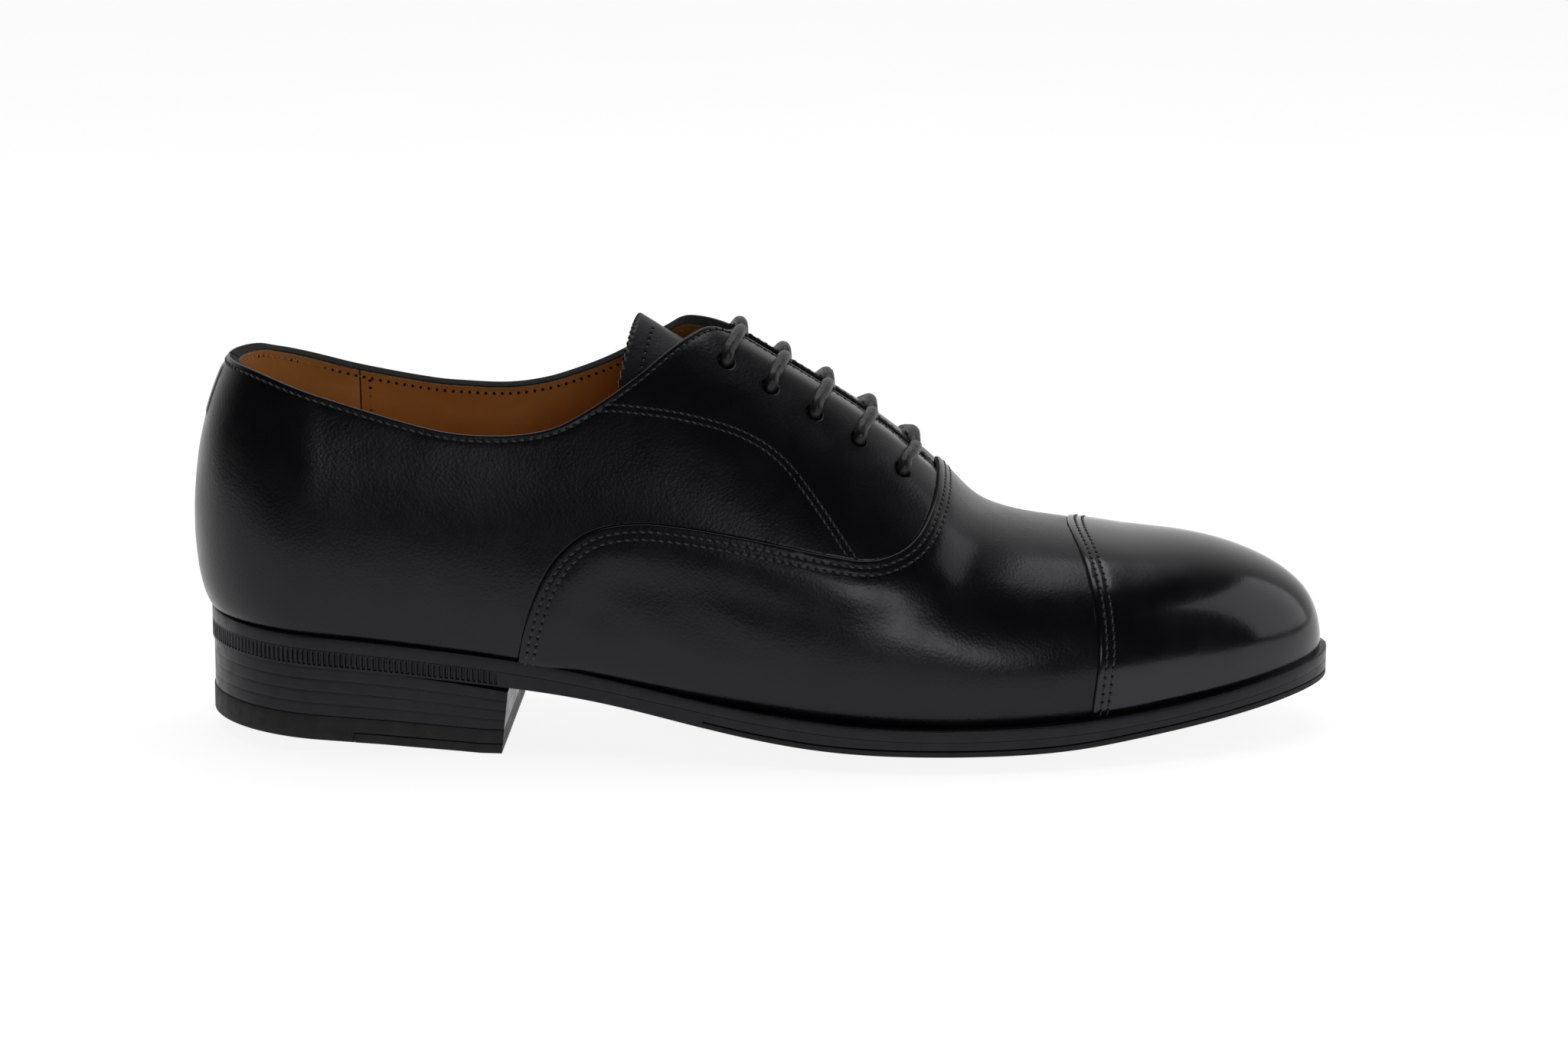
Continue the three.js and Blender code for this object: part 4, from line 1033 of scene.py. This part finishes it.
def sew_upper():
    for row, distance in (("outer", 2.0), ("inner", 4.0)):
        for name, seam, lap, slot in (("vamp", VAMP_LINE, lapped, "black_calf"),
                                      ("cap", CAP_LINE, cap_lap, "polished_calf")):
            sewn(f"stitches_{name}_{row}", beside(seam.places, -distance),
                 lambda s, t: lap(seam(s, t)) + 0.05, BLACK_THREAD, slot=slot)
    for side, name in SIDES.items():
        top, facing, drawn = TOP_LINE[side], FACING[side], drawn_in(side)

        def behind_vamp(s, t):
            return -VAMP_LINE(s, t)

        def lining(s, t):
            return LINING_BACK + 0.05 + drawn(s, t)

        line = trimmed(beside(top.places, side * 1.6), (top, 1.3), (facing, 1.5))
        sewn(f"stitches_topline_{name}", line, drawn, BLACK_THREAD, body="shoe")
        line = trimmed(beside(top.places, side * 2.1), (facing, 2.0))
        sewn(f"stitches_topline_inside_{name}", line, lining, TAN_THREAD, body="shoe", slot="tan_lining",
             inward=True)
        line = trimmed(beside(facing.places, side * 1.6), (top, 1.7), (behind_vamp, 0.6))
        sewn(f"stitches_facing_{name}", line, drawn, BLACK_THREAD)
        for row, distance in (("outer", 0.85), ("inner", -0.85)):
            line = trimmed(beside(on_side(STAY_EDGE, side), distance), (top, 1.2), (behind_vamp, 0.4))
            sewn(f"stitches_stay_{name}_{row}", line, constant(0.0), BLACK_THREAD, pitch=1.9, length=1.4)
        t = np.linspace(0.12, 1, 60)
        line = trimmed(np.stack([np.full(60, GRIP_END + 2.9), flipped(t, side)], -1), (top, 2.6))
        sewn(f"stitches_grip_{name}", line, constant(LINING_BACK + 0.05), TAN_THREAD, body="shoe",
             slot="tan_lining", inward=True)


# ---------------------------------------------------------------- tongue
TONGUE_RIDGE = Profile([(112, 115.2), (118.9, 111.4), (130.7, 104.7), (150, 93.2), (170, 80.8), (190, 68.2),
                        (207, 57.6)])
TONGUE_END = 202
TONGUE_HALF = Profile([(112, 19), (150, 21), (180, 21), (207, 18.5)])
TONGUE_FALL = Profile([(112, 19.5), (119, 20), (150, 24), (207, 32)])


def tongue_point(u, v, depth):
    start = 118.9 - 5 * np.abs(v) ** 1.5
    x = start + (TONGUE_END - start) * u
    y = TONGUE_HALF(x) * v
    slope = (TONGUE_RIDGE(x + 1) - TONGUE_RIDGE(x - 1)) / 2
    fall = TONGUE_FALL(x)
    normal = unit(np.stack([-slope, 2 * y / fall, np.ones_like(y)], -1))
    point = np.stack([x, y, TONGUE_RIDGE(x) - y * y / fall], -1)
    return point - normal * np.asarray(depth, float)[..., None], normal


def tongue_sheet(name, top, bottom, materials, pinked, slot, node):
    columns = 97                         # two to each tooth of the pinked end
    v = np.linspace(-1, 1, columns)
    teeth = 0.0045 * np.abs((np.arange(columns) * 0.5) % 2 - 1) if pinked else np.zeros(columns)
    u_rows = np.concatenate([[0, 0.004, 0.01] if pinked else [0.03], spaced(0.036, 1, 0.018)])
    rows = []
    for u in u_rows:
        place_u = u + teeth * max(1 - u / 0.03, 0)
        edge = np.minimum((1 - np.abs(v)) * 20, np.minimum(u, 1 - u) * 87)     # millimetres, roughly
        drop = rounded(edge, 0.35) if pinked else 0.0
        wave = 0.10 * np.sin(place_u * 41 + 3 * v) * np.sin(v * 7.3 + 1)
        wave = wave + 0.35 * np.exp(-u / 0.05) * np.cos(5 * v)
        upper, _ = tongue_point(place_u, v, top + drop - wave)
        lower, _ = tongue_point(place_u, v, bottom - wave)
        rows.append(np.vstack([upper, lower[::-1]]))
    piece = swept(name, rows, materials,
                  index_of=lambda face: int(min(i % (2 * columns) for i in face) >= columns))
    finish_piece(piece, slot, node, body="tongue")


def tongue():
    tongue_sheet("tongue_leather", 0.0, 1.2, [TONGUE, RAW], True, "black_calf", "tongue")
    tongue_sheet("tongue_lining_leather", 1.5, 2.3, [TAN_EDGE, TAN], False, "tan_lining", "tongue_lining")
    v = np.linspace(-0.93, 0.93, 400)
    line, up = tongue_point(np.full(400, 0.052), v, np.full(400, -0.02))
    travelled = length_along(line)
    at = np.arange(1.0, travelled[-1], PITCH)
    centres, ups = resampled(at, travelled, line), resampled(at, travelled, up)
    row = stitches("stitches_tongue", centres, np.gradient(centres, axis=0), ups, BLACK_THREAD)
    finish_piece(row, "black_calf", body="tongue")


# ---------------------------------------------------------------- lace
UNDER, OVER = -5.6, 1.6                  # heights of its centre line beneath and above the facings
LEAN, SAG = 5.0, 3.8                     # a bar leans to the toe and sinks between the facings


def lace_route():
    """The whole lace: a tucked tail, five bars joined by runs beneath the facings, and the other tail."""
    def off(side, s, t, height):
        t = np.asarray(t, float)
        return raised(np.full(t.shape, float(s)), t, np.full(t.shape, float(height)))

    def inside(side, x, r, deeper=0.0):
        s = station(x)
        t = radius_place(side, np.array([s]), r)
        return off(side, s, t, UNDER - deeper)[0]

    def tail(side, first, turn):
        back = turn + (first - turn) * 0.1
        points = [inside(side, x, 14) for x in np.linspace(first, turn, 4)[:3]]
        points += [inside(side, back, 14), inside(side, turn, 11.6), inside(side, back, 9.2),
                   inside(side, turn + (first - turn) * 0.3, 9, 0.5),
                   inside(side, turn + (first - turn) * 0.5, 9, 1.0)]
        return points

    def through(side, row, towards):
        s, t = hole_place(side, row)
        hole, normal = surface(s, t), normals(s, t)
        over = t + (0.05 if side == LATERAL else -0.05)
        bar = unit(surface(s, over) - hole)
        inwards = towards - hole
        inwards = unit(inwards - normal * (inwards @ normal))
        steps = ((UNDER, inwards, 2.4), (UNDER + 0.9, inwards, 0.5), (-2.7, inwards, 0), (-0.9, bar, 0),
                 (OVER - 0.8, bar, 0.5), (OVER, bar, 2.4))
        return [hole + normal * depth + direction * reach for depth, direction, reach in steps]

    def bar(side, row):
        def half(which, shares):
            s, t = hole_place(which, row)
            drawn = drawn_in(which)
            points = []
            for share in shares:
                at_s, at_t = np.array([s + LEAN * share]), np.array([t + (1 - t) * share])
                height = OVER + drawn(at_s, at_t)[0] * (share < 0.9) - SAG * share ** 6
                points.append(off(which, at_s[0], at_t, height)[0])
            return points
        return half(side, (0.3, 0.55, 0.75, 1)) + half(-side, (0.75, 0.55, 0.3))

    bottom = HOLES[-1]
    first, final = tail(LATERAL, 181, 147), tail(MEDIAL, 150, 186)
    points = first[::-1]
    side = LATERAL
    for row in reversed(HOLES):
        def near(which, step):
            s, t = hole_place(which, row)
            return off(which, s + step, np.array([t]), UNDER)[0]
        arriving = points[-1] if row == bottom else near(side, 5)
        points += through(side, row, arriving) + bar(side, row)
        side = -side
        leaving = final[0] if row == 0 else near(side, -5)
        points += through(side, row, leaving)[::-1]
    return np.array(points + final)


def smooth_path(points, step):
    """A centripetal curve through the points, cut into even steps."""
    fine = catmull3(points, 24)
    travelled = length_along(fine)
    at = np.linspace(0, travelled[-1], int(travelled[-1] / step) + 1)
    return resampled(at, travelled, fine), travelled[-1]


def catmull3(p, samples):
    out = []
    n = len(p)
    for i in range(n - 1):
        p0 = p[i - 1] if i else 2 * p[0] - p[1]
        p3 = p[i + 2] if i + 2 < n else 2 * p[-1] - p[-2]
        p1, p2 = p[i], p[i + 1]
        d = [max(np.linalg.norm(b - a) ** 0.5, 1e-3) for a, b in ((p0, p1), (p1, p2), (p2, p3))]
        m1 = (p2 - p1) + d[1] * ((p1 - p0) / d[0] - (p2 - p0) / (d[0] + d[1]))
        m2 = (p2 - p1) + d[1] * ((p3 - p2) / d[2] - (p3 - p1) / (d[1] + d[2]))
        for w in np.arange(samples) / samples:
            out.append((2 * w ** 3 - 3 * w ** 2 + 1) * p1 + (w ** 3 - 2 * w ** 2 + w) * m1
                       + (-2 * w ** 3 + 3 * w ** 2) * p2 + (w ** 3 - w ** 2) * m2)
    out.append(p[-1])
    return np.array(out)


def frames(path):
    """Turning-free side directions along a path."""
    tangent = unit(np.gradient(path, axis=0))
    side = np.zeros_like(path)
    side[0] = unit(np.cross(tangent[0], [0.2, 0.9, 0.4]))
    for i in range(1, len(path)):
        v = side[i - 1] - tangent[i] * (side[i - 1] @ tangent[i])
        side[i] = unit(v)
    return side, np.cross(tangent, side)


BRAID_SIDES, BRAID_STEP, BRAID_TURN = 24, 0.38, 6.4
AGLET = ((0.0, .96), (0.3, 1.0), (1.6, 1.0), (1.9, .95), (2.2, 1.0), (15.5, .98), (17.2, .9), (17.8, .6),
         (18.0, .2))                     # along it, and its radius as a share of the lace's


def lace():
    path, length = smooth_path(lace_route(), BRAID_STEP)
    a, b = frames(path)
    along_mm = (np.arange(len(path)) * BRAID_STEP)[:, None]
    turn = np.arange(BRAID_SIDES) / BRAID_SIDES * 2 * math.pi
    twist = along_mm / BRAID_TURN * 2 * math.pi
    weave = np.maximum(np.abs(np.cos(4 * turn + twist)), np.abs(np.cos(4 * turn - twist)))
    tapered = np.clip(np.minimum(along_mm, along_mm[::-1]) / 0.6, 0.3, 1)
    radius = LACE_R * (0.86 + 0.14 * weave) * tapered
    rows = path[:, None] + a[:, None] * (np.cos(turn) * radius)[..., None] \
        + b[:, None] * (np.sin(turn) * radius)[..., None]
    finish_piece(swept("lace_cord", rows, [CORD], sharp=0), "waxed_lace", "lace", body="shoe")
    for name, end, before in (("aglet_1", 0, 3), ("aglet_2", -1, -4)):
        direction = unit(path[end] - path[before])
        side = a[end]
        other = np.cross(direction, side)
        round_it = side * np.cos(turn)[:, None] + other * np.sin(turn)[:, None]
        rows = [path[end] + direction * (at + 0.2) + round_it * LACE_R * share for at, share in AGLET]
        finish_piece(swept(f"{name}_tip", rows, [TIP], sharp=0), "lace_tip", name, body="shoe")
    return length


# ---------------------------------------------------------------- sole unit
WELT_INSIDE = -4.6
SOLE_REACH = TOE_R + 1.7
WELT_TOP, RAND_TOP, WELT_BOTTOM, OUTSOLE_TOP = 0.1, 0.7, -2.95, -3.0
HALF_SOLE, HALF_SOLE_START = 1.5, 137.0
HEEL_FRONT, HEEL_BACK_LIFT = 87.5, 4.8
GAP = 0.3
ROUND = tuple(math.radians(a) for a in (0, 30, 60, 90))


def outline_radius(outline, side, s, grow):
    """The radius of an outline that has grown outwards, and the outline's own."""
    edge, toe = by_side(outline, side, s), by_side(outline, side, TOE_START)
    return np.maximum(np.where(s > TOE_START, edge * (1 + grow / toe), edge + grow), 0), edge


def sole_level(level):
    return lambda s, share, x: FEATHER_Z(s) + level - CROWN(s) * (1 - share * share)


def sole_bottom(s, share, x):
    return sole_level(0)(s, share, x) - EDGE_THICKNESS(s)


def plate_point(outline, side, s, share_out, grow, reach, height):
    r, edge = outline_radius(outline, side, s, grow)
    spot = place(side, s, r * share_out, 0.0, reach + grow)
    widest = np.maximum(by_side(SOLE_EDGE, side, s), 1)
    share = np.clip(share_out * (edge + np.minimum(grow, 0)) / widest, 0, 1)
    spot[..., 2] = height(s, share, spot[..., 0])
    return spot


def half_section(radius, marks):
    """From the centre of the top, round the edge, to the centre of the bottom.

    Each is (share of the way out, inset, share of the way down, lift)."""
    section = [(w, radius, 0, 0) for w in (0, 0.35, 0.65, 0.85, 0.95)]
    section += [(1, radius * (1 - math.sin(a)), 0, -radius * (1 - math.cos(a))) for a in ROUND]
    section += marks
    section += [(1, radius * (1 - math.cos(a)), 1, radius * (1 - math.sin(a))) for a in ROUND]
    return section + [(w, radius, 1, 0) for w in (0.95, 0.85, 0.65, 0.35, 0)]


def plate(name, material, top, bottom, stations, outline=SOLE_EDGE, grow=0.0, reach=SOLE_REACH, radius=0.35,
          marks=(), shift=None, edge_move=None):
    """A level plate of the sole. shift moves a row's points forward or back, edge_move its edge inwards."""
    section = half_section(radius, list(marks))
    s = np.asarray(stations, float)
    columns = []
    for side, order in ((MEDIAL, section), (LATERAL, section[::-1])):
        for share, inset, mix, dz in order:
            move = edge_move(side, s, mix) if edge_move and share == 1 else 0.0
            where = (outline, side, s, share, grow - inset - move, reach)
            upper, lower = plate_point(*where, top), plate_point(*where, bottom)
            upper[:, 2] = upper[:, 2] * (1 - mix) + lower[:, 2] * mix + dz
            columns.append(upper)
    rows = np.stack(columns, 1)
    return swept(name, shift(rows) if shift else rows, [material])


def sole_stations(start, end=TOE_END, step=1.3):
    return spaced(start, end, step)


def edge_marks(count):
    """Rings down an edge."""
    return [(1, 0, k / (count + 1), 0) for k in range(1, count + 1)]


WHEEL_PITCH, WHEEL_DEPTH = 1.45, 0.5


def wheel_marks(side, s, mix):
    """Fine upright marks rolled into the lower part of the sole edge round the heel."""
    band = smoothstep(0.04, 0.09, mix) * smoothstep(0.86, 0.80, mix)
    tooth = smoothstep(0.35, 0.75, 0.5 + 0.5 * np.cos(2 * math.pi * s / WHEEL_PITCH))
    return WHEEL_DEPTH * band * tooth * smoothstep(station(83), station(82), s)


def outsole():
    heel = spaced(0, station(86), WHEEL_PITCH / 8)
    front = sole_stations(station(86), station(HALF_SOLE_START - GAP))[1:]
    edge = station(HALF_SOLE_START - GAP)
    s = np.concatenate([heel, front, [edge + 1e-4], sole_stations(edge + 0.5)])
    step = edge + 5e-5

    def bottom(s, share, x):
        return sole_bottom(s, share, x) + np.where(s > step, HALF_SOLE + GAP, 0)

    marks = [(1, 0, m, 0) for m in (.04, .09, .2, .35, .5, .65, .8, .86, .9)]
    piece = plate("outsole_leather", WAXED, sole_level(OUTSOLE_TOP), bottom, s, radius=0.06, marks=marks,
                  edge_move=wheel_marks)
    finish_piece(piece, "sole_leather", "outsole")


def half_sole():
    def top(s, share, x):
        return sole_bottom(s, share, x) + HALF_SOLE

    start = station(HALF_SOLE_START) - 0.35
    piece = plate("half_sole_rubber", RUBBER, top, sole_bottom, sole_stations(start), radius=0.2,
                  marks=edge_marks(2))
    finish_piece(piece, "sole_rubber", "half_sole")


def inner_plates():
    for name, node, slot, material, top, bottom, grow in (
            ("sock_liner_leather", "sock_liner", "tan_lining", TAN, 3.1, 2.1, -4.1),
            ("insole_board", "insole", "insole_leather", INSOLE, 1.8, -0.6, -5.0),
            ("cork_bed", "cork_filler", "cork", CORK, -0.9, -2.6, -5.0)):
        piece = plate(name, material, sole_level(top), sole_level(bottom), sole_stations(0, step=2.2),
                      outline=FEATHER, grow=grow, reach=TOE_R, radius=0.25)
        finish_piece(piece, slot, node)


def welt_top(s):
    """The welt's top lies a little higher round the heel."""
    return WELT_TOP + (RAND_TOP - WELT_TOP) * smoothstep(station(150), station(HEEL_FRONT), s)


def ring_rows(stations, sides, radius=0.4):
    """Sections of the welt: flat on top, rounded outside, running in under the upper."""
    section = [(0, 0, 0, 0), (0.5, 0, 0, 0), (0.8, 0, 0, 0)]
    section += [(1, radius * (1 - math.sin(a)), 0, -radius * (1 - math.cos(a))) for a in ROUND]
    section += [(1, 0, 0.5, 0)]
    section += [(1, 0.05 * (1 - math.cos(a)), 1, 0.05 * (1 - math.sin(a))) for a in ROUND]
    section += [(0.8, 0, 1, 0), (0.5, 0, 1, 0), (0, 0, 1, 0)]
    s, side = np.asarray(stations, float), np.asarray(sides)
    columns = []
    for w, inset, mix, dz in section:
        out, _ = outline_radius(SOLE_EDGE, side, s, -inset)
        into, _ = outline_radius(FEATHER, side, s, WELT_INSIDE)
        far = place(side, s, out, 0.0, SOLE_REACH - inset)
        near = place(side, s, into, 0.0, TOE_R + WELT_INSIDE)
        spot = near * (1 - w) + far * w
        widest = np.maximum(by_side(SOLE_EDGE, side, s), 1)
        share = np.clip((into * (1 - w) + out * w) / widest, 0, 1)
        upper, lower = FEATHER_Z(s) + welt_top(s), sole_level(WELT_BOTTOM)(s, share, 0)
        spot[:, 2] = upper * (1 - mix) + lower * mix + dz
        columns.append(spot)
    return np.stack(columns, 1)


def welt_and_rand():
    front = sole_stations(station(HEEL_FRONT) + 0.02)
    back = spaced(0, station(HEEL_FRONT), 1.3)[::-1]
    for name, half, body in (("welt", front, None), ("heel_rand", back, "shoe")):
        s = np.concatenate([half, half[::-1][1:]])
        sides = np.repeat([LATERAL, MEDIAL], [len(half), len(half) - 1])
        piece = swept(f"{name}_leather", ring_rows(s, sides), [WAXED])
        finish_piece(piece, "sole_leather", name, body=body)


# ---------------------------------------------------------------- heel
TOP_PIECE_BACK, TOP_PIECE_FRONT = 6.9, 6.5
INSERT, INSERT_START = 2.5, 45.0
LIFTS = 4
HEEL_ROWS_END = 95.0


def heel_face(x):
    return HEEL_BACK_LIFT * (HEEL_FRONT - np.minimum(x, HEEL_FRONT)) / (HEEL_FRONT - 3)


def top_piece_top(x):
    return heel_face(x) + TOP_PIECE_BACK + (TOP_PIECE_FRONT - TOP_PIECE_BACK) * x / HEEL_FRONT


def to_breast(rows):
    """Draws the front rows back to the hollow, forward-leaning heel breast."""
    y, z = rows[..., 1], rows[..., 2]
    breast = 85.2 + 0.05 * y - 2 * (1 - (y / 32) ** 2) + 0.1 * np.maximum(z, 0)
    start = INSERT_START + 8
    share = np.clip((rows[..., 0] - start) / (HEEL_ROWS_END - start), 0, 1)
    rows[..., 0] = np.where(rows[..., 0] > start, start + (breast - start) * share, rows[..., 0])
    return rows


def heel_layer(name, material, top, bottom, grow, slot, node, stations=None, radius=0.25, marks=2):
    s = spaced(0, station(HEEL_ROWS_END), 1.3) if stations is None else stations
    piece = plate(name, material, top, bottom, s, grow=grow, reach=TOE_R, radius=radius,
                  marks=edge_marks(marks), shift=to_breast)
    finish_piece(piece, slot, node, body="shoe")


def heel():
    def level(share):
        def height(s, across, x):
            seat = sole_bottom(s, across, x)
            return seat + (top_piece_top(x) - seat) * share
        return height

    for number in range(1, LIFTS + 1):
        heel_layer(f"heel_lift_{number}_leather", WAXED, level((number - 1) / LIFTS), level(number / LIFTS),
                   -0.45, "heel_stack", f"heel_lift_{number}", radius=0.04)
    step = station(INSERT_START)

    def under(s, share, x):
        return heel_face(x) + np.where(s > step, INSERT + 0.12, 0)

    front = station(HEEL_ROWS_END)
    split = np.concatenate([spaced(0, step, 1.3), [step + 1e-4], spaced(step + 1, front, 1.3)])
    heel_layer("heel_top_piece_rubber", RUBBER, lambda s, share, x: top_piece_top(x), under, -0.2,
               "sole_rubber", "heel_top_piece", stations=split, radius=0.3)
    heel_layer("heel_top_insert_rubber", RUBBER, lambda s, share, x: heel_face(x) + INSERT,
               lambda s, share, x: heel_face(x), -0.2, "sole_rubber", "heel_top_insert",
               stations=spaced(step + 0.15, front, 1.3), radius=0.15)
    heel_nails()


NAILS, NAIL_SIDES, NAIL_SPACING = 5, 20, 38     # spaced in degrees round the horseshoe
NAIL_CENTRE, NAIL_RING = 42, (26, 24)


def heel_nails():
    """Nails in a horseshoe, their heads just proud of the top piece."""
    turn = np.arange(NAIL_SIDES) / NAIL_SIDES * 2 * math.pi
    for number in range(1, NAILS + 1):
        angle = math.radians(180 + NAIL_SPACING * (number - (NAILS + 1) // 2))
        x, y = NAIL_CENTRE + NAIL_RING[0] * math.cos(angle), NAIL_RING[1] * math.sin(angle)
        z = heel_face(x)
        profile = ((0.2, -0.12), (0.9, -0.10), (1.5, 0.02), (1.6, 0.3), (1.0, 0.5), (1.0, 18.0 - z),
                   (0.2, 18.4 - z))       # radius and height above the heel's face
        rows = [np.stack([x + r * np.cos(turn), y + r * np.sin(turn), np.full(NAIL_SIDES, z + h)], -1)
                for r, h in profile]
        piece = swept(f"heel_nail_{number}_steel", rows, [STEEL], sharp=35)
        finish_piece(piece, "steel", f"heel_nail_{number}", body="shoe")


def carried_over():
    """CAD nodes that stay get their materials."""
    for name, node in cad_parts.items():
        if node.hide_render:
            continue
        # The eyelets get the brass that is darkened into painted shade for the lace holes.
        material = DARKENED_BRASS if name.startswith("eyelet") else STEEL if name == "shank" else STIFF
        node.data.materials.clear()
        node.data.materials.append(material)


# ---------------------------------------------------------------- studio
CAMERA_TILT, CAMERA_ROLL = 12.5, 0.34    # degrees
CAMERA_DISTANCE, CAMERA_AIM = 1.168, (0.00535, -0.00015, 0.05475)
LIGHT_AIM = (0.0, 0.0, 0.05)
LIGHTS = (("top_softbox", (-0.05, 0.25, 1.5), (1.4, 0.9), 9),     # place, size in metres, power in watts
          ("front_softbox", (0.30, -1.7, 0.45), (0.8, 0.4), 4.5),
          ("toe_softbox", (1.3, 0.1, 0.6), (1.2, 1.1), 5))


def area_light(name, place_m, size, power):
    light = bpy.data.lights.new(name, "AREA")
    light.shape = "RECTANGLE"
    light.size, light.size_y = size
    light.energy = power
    obj = bpy.data.objects.new(name, light)
    bpy.context.collection.objects.link(obj)
    obj.location = place_m
    obj.rotation_euler = (Vector(LIGHT_AIM) - Vector(place_m)).to_track_quat("-Z", "Y").to_euler()


def studio():
    scene = bpy.context.scene
    tilt = math.radians(CAMERA_TILT)
    camera = bpy.data.cameras.new("camera")
    camera.lens, camera.sensor_width = 100, 36
    view = bpy.data.objects.new("camera", camera)
    scene.collection.objects.link(view)
    away = Vector((0, -math.cos(tilt), math.sin(tilt)))
    view.location = Vector(CAMERA_AIM) + away * CAMERA_DISTANCE
    turned = Matrix.Rotation(math.pi / 2 - tilt, 3, "X") @ Matrix.Rotation(math.radians(CAMERA_ROLL), 3, "Z")
    view.rotation_euler = turned.to_euler()
    scene.camera = view
    scene.view_settings.view_transform = "Standard"

    floor = floor_sheet()
    paper = Nodes("pale_paper", Roughness=0.9, Specular_IOR_Level=0.1, Emission_Color=(1, 1, 1, 1),
                  Emission_Strength=0.88)
    paper.color(paper.noise(6, 2), (0.3, (.24, .24, .24)), (0.7, (.26, .26, .26)))
    floor.data.materials.append(paper.material)
    floor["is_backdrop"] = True
    surroundings(scene)
    for light in LIGHTS:
        area_light(*light)


FLOOR = ((-1.6, -0.42), (1.6, 3.2))
FLOOR_Z = -0.0001                        # just clear of the heel's face


def floor_sheet():
    """White paper. It ends just in front of the view, so that the upper's sides mirror the dark room."""
    (x0, y0), (x1, y1) = FLOOR
    mesh = bpy.data.meshes.new("floor")
    corners = [(x, y, FLOOR_Z) for x, y in ((x0, y0), (x1, y0), (x1, y1), (x0, y1))]
    mesh.from_pydata(corners, [], [[0, 1, 2, 3]])
    floor = bpy.data.objects.new("floor", mesh)
    bpy.context.collection.objects.link(floor)
    return floor


def surroundings(scene):
    """A white backdrop that fades to a dark room at the front, and plain white for the camera."""
    world = bpy.data.worlds.new("studio")
    scene.world = world
    world.use_nodes = True
    tree = world.node_tree
    room = tree.nodes["Background"]
    room.inputs["Color"].default_value = (1, 1, 1, 1)
    direction = add_node(tree, "TexCoord")
    split = add_node(tree, "SeparateXYZ")
    fade = add_node(tree, "MapRange", From_Min=0.1, From_Max=0.95, To_Min=0.03, To_Max=0.82)
    fade.interpolation_type = "SMOOTHSTEP"
    plain = add_node(tree, "Background", Color=(1, 1, 1, 1))
    path = add_node(tree, "LightPath")
    mix = add_node(tree, "MixShader")
    tree.links.new(direction.outputs["Generated"], split.inputs["Vector"])
    tree.links.new(split.outputs["Y"], fade.inputs["Value"])
    tree.links.new(fade.outputs["Result"], room.inputs["Strength"])
    tree.links.new(path.outputs["Is Camera Ray"], mix.inputs["Fac"])
    tree.links.new(room.outputs[0], mix.inputs[1])
    tree.links.new(plain.outputs[0], mix.inputs[2])
    tree.links.new(mix.outputs[0], tree.nodes["World Output"].inputs["Surface"])


# ---------------------------------------------------------------- build
studio()
lace_length = lace()
for which in SIDES:
    quarter(which)
    quarter_lining(which)
vamp()
toe_cap()
heel_tab()
heel_grip()
vamp_lining()
sew_upper()
tongue()
outsole()
half_sole()
inner_plates()
welt_and_rand()
heel()
carried_over()
print("lace length, mm:", round(lace_length))

boxes = {"cad": CAD_BOX, "visual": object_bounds()}
{key: [[float(v) for v in corner] for corner in box] for key, box in boxes.items()}
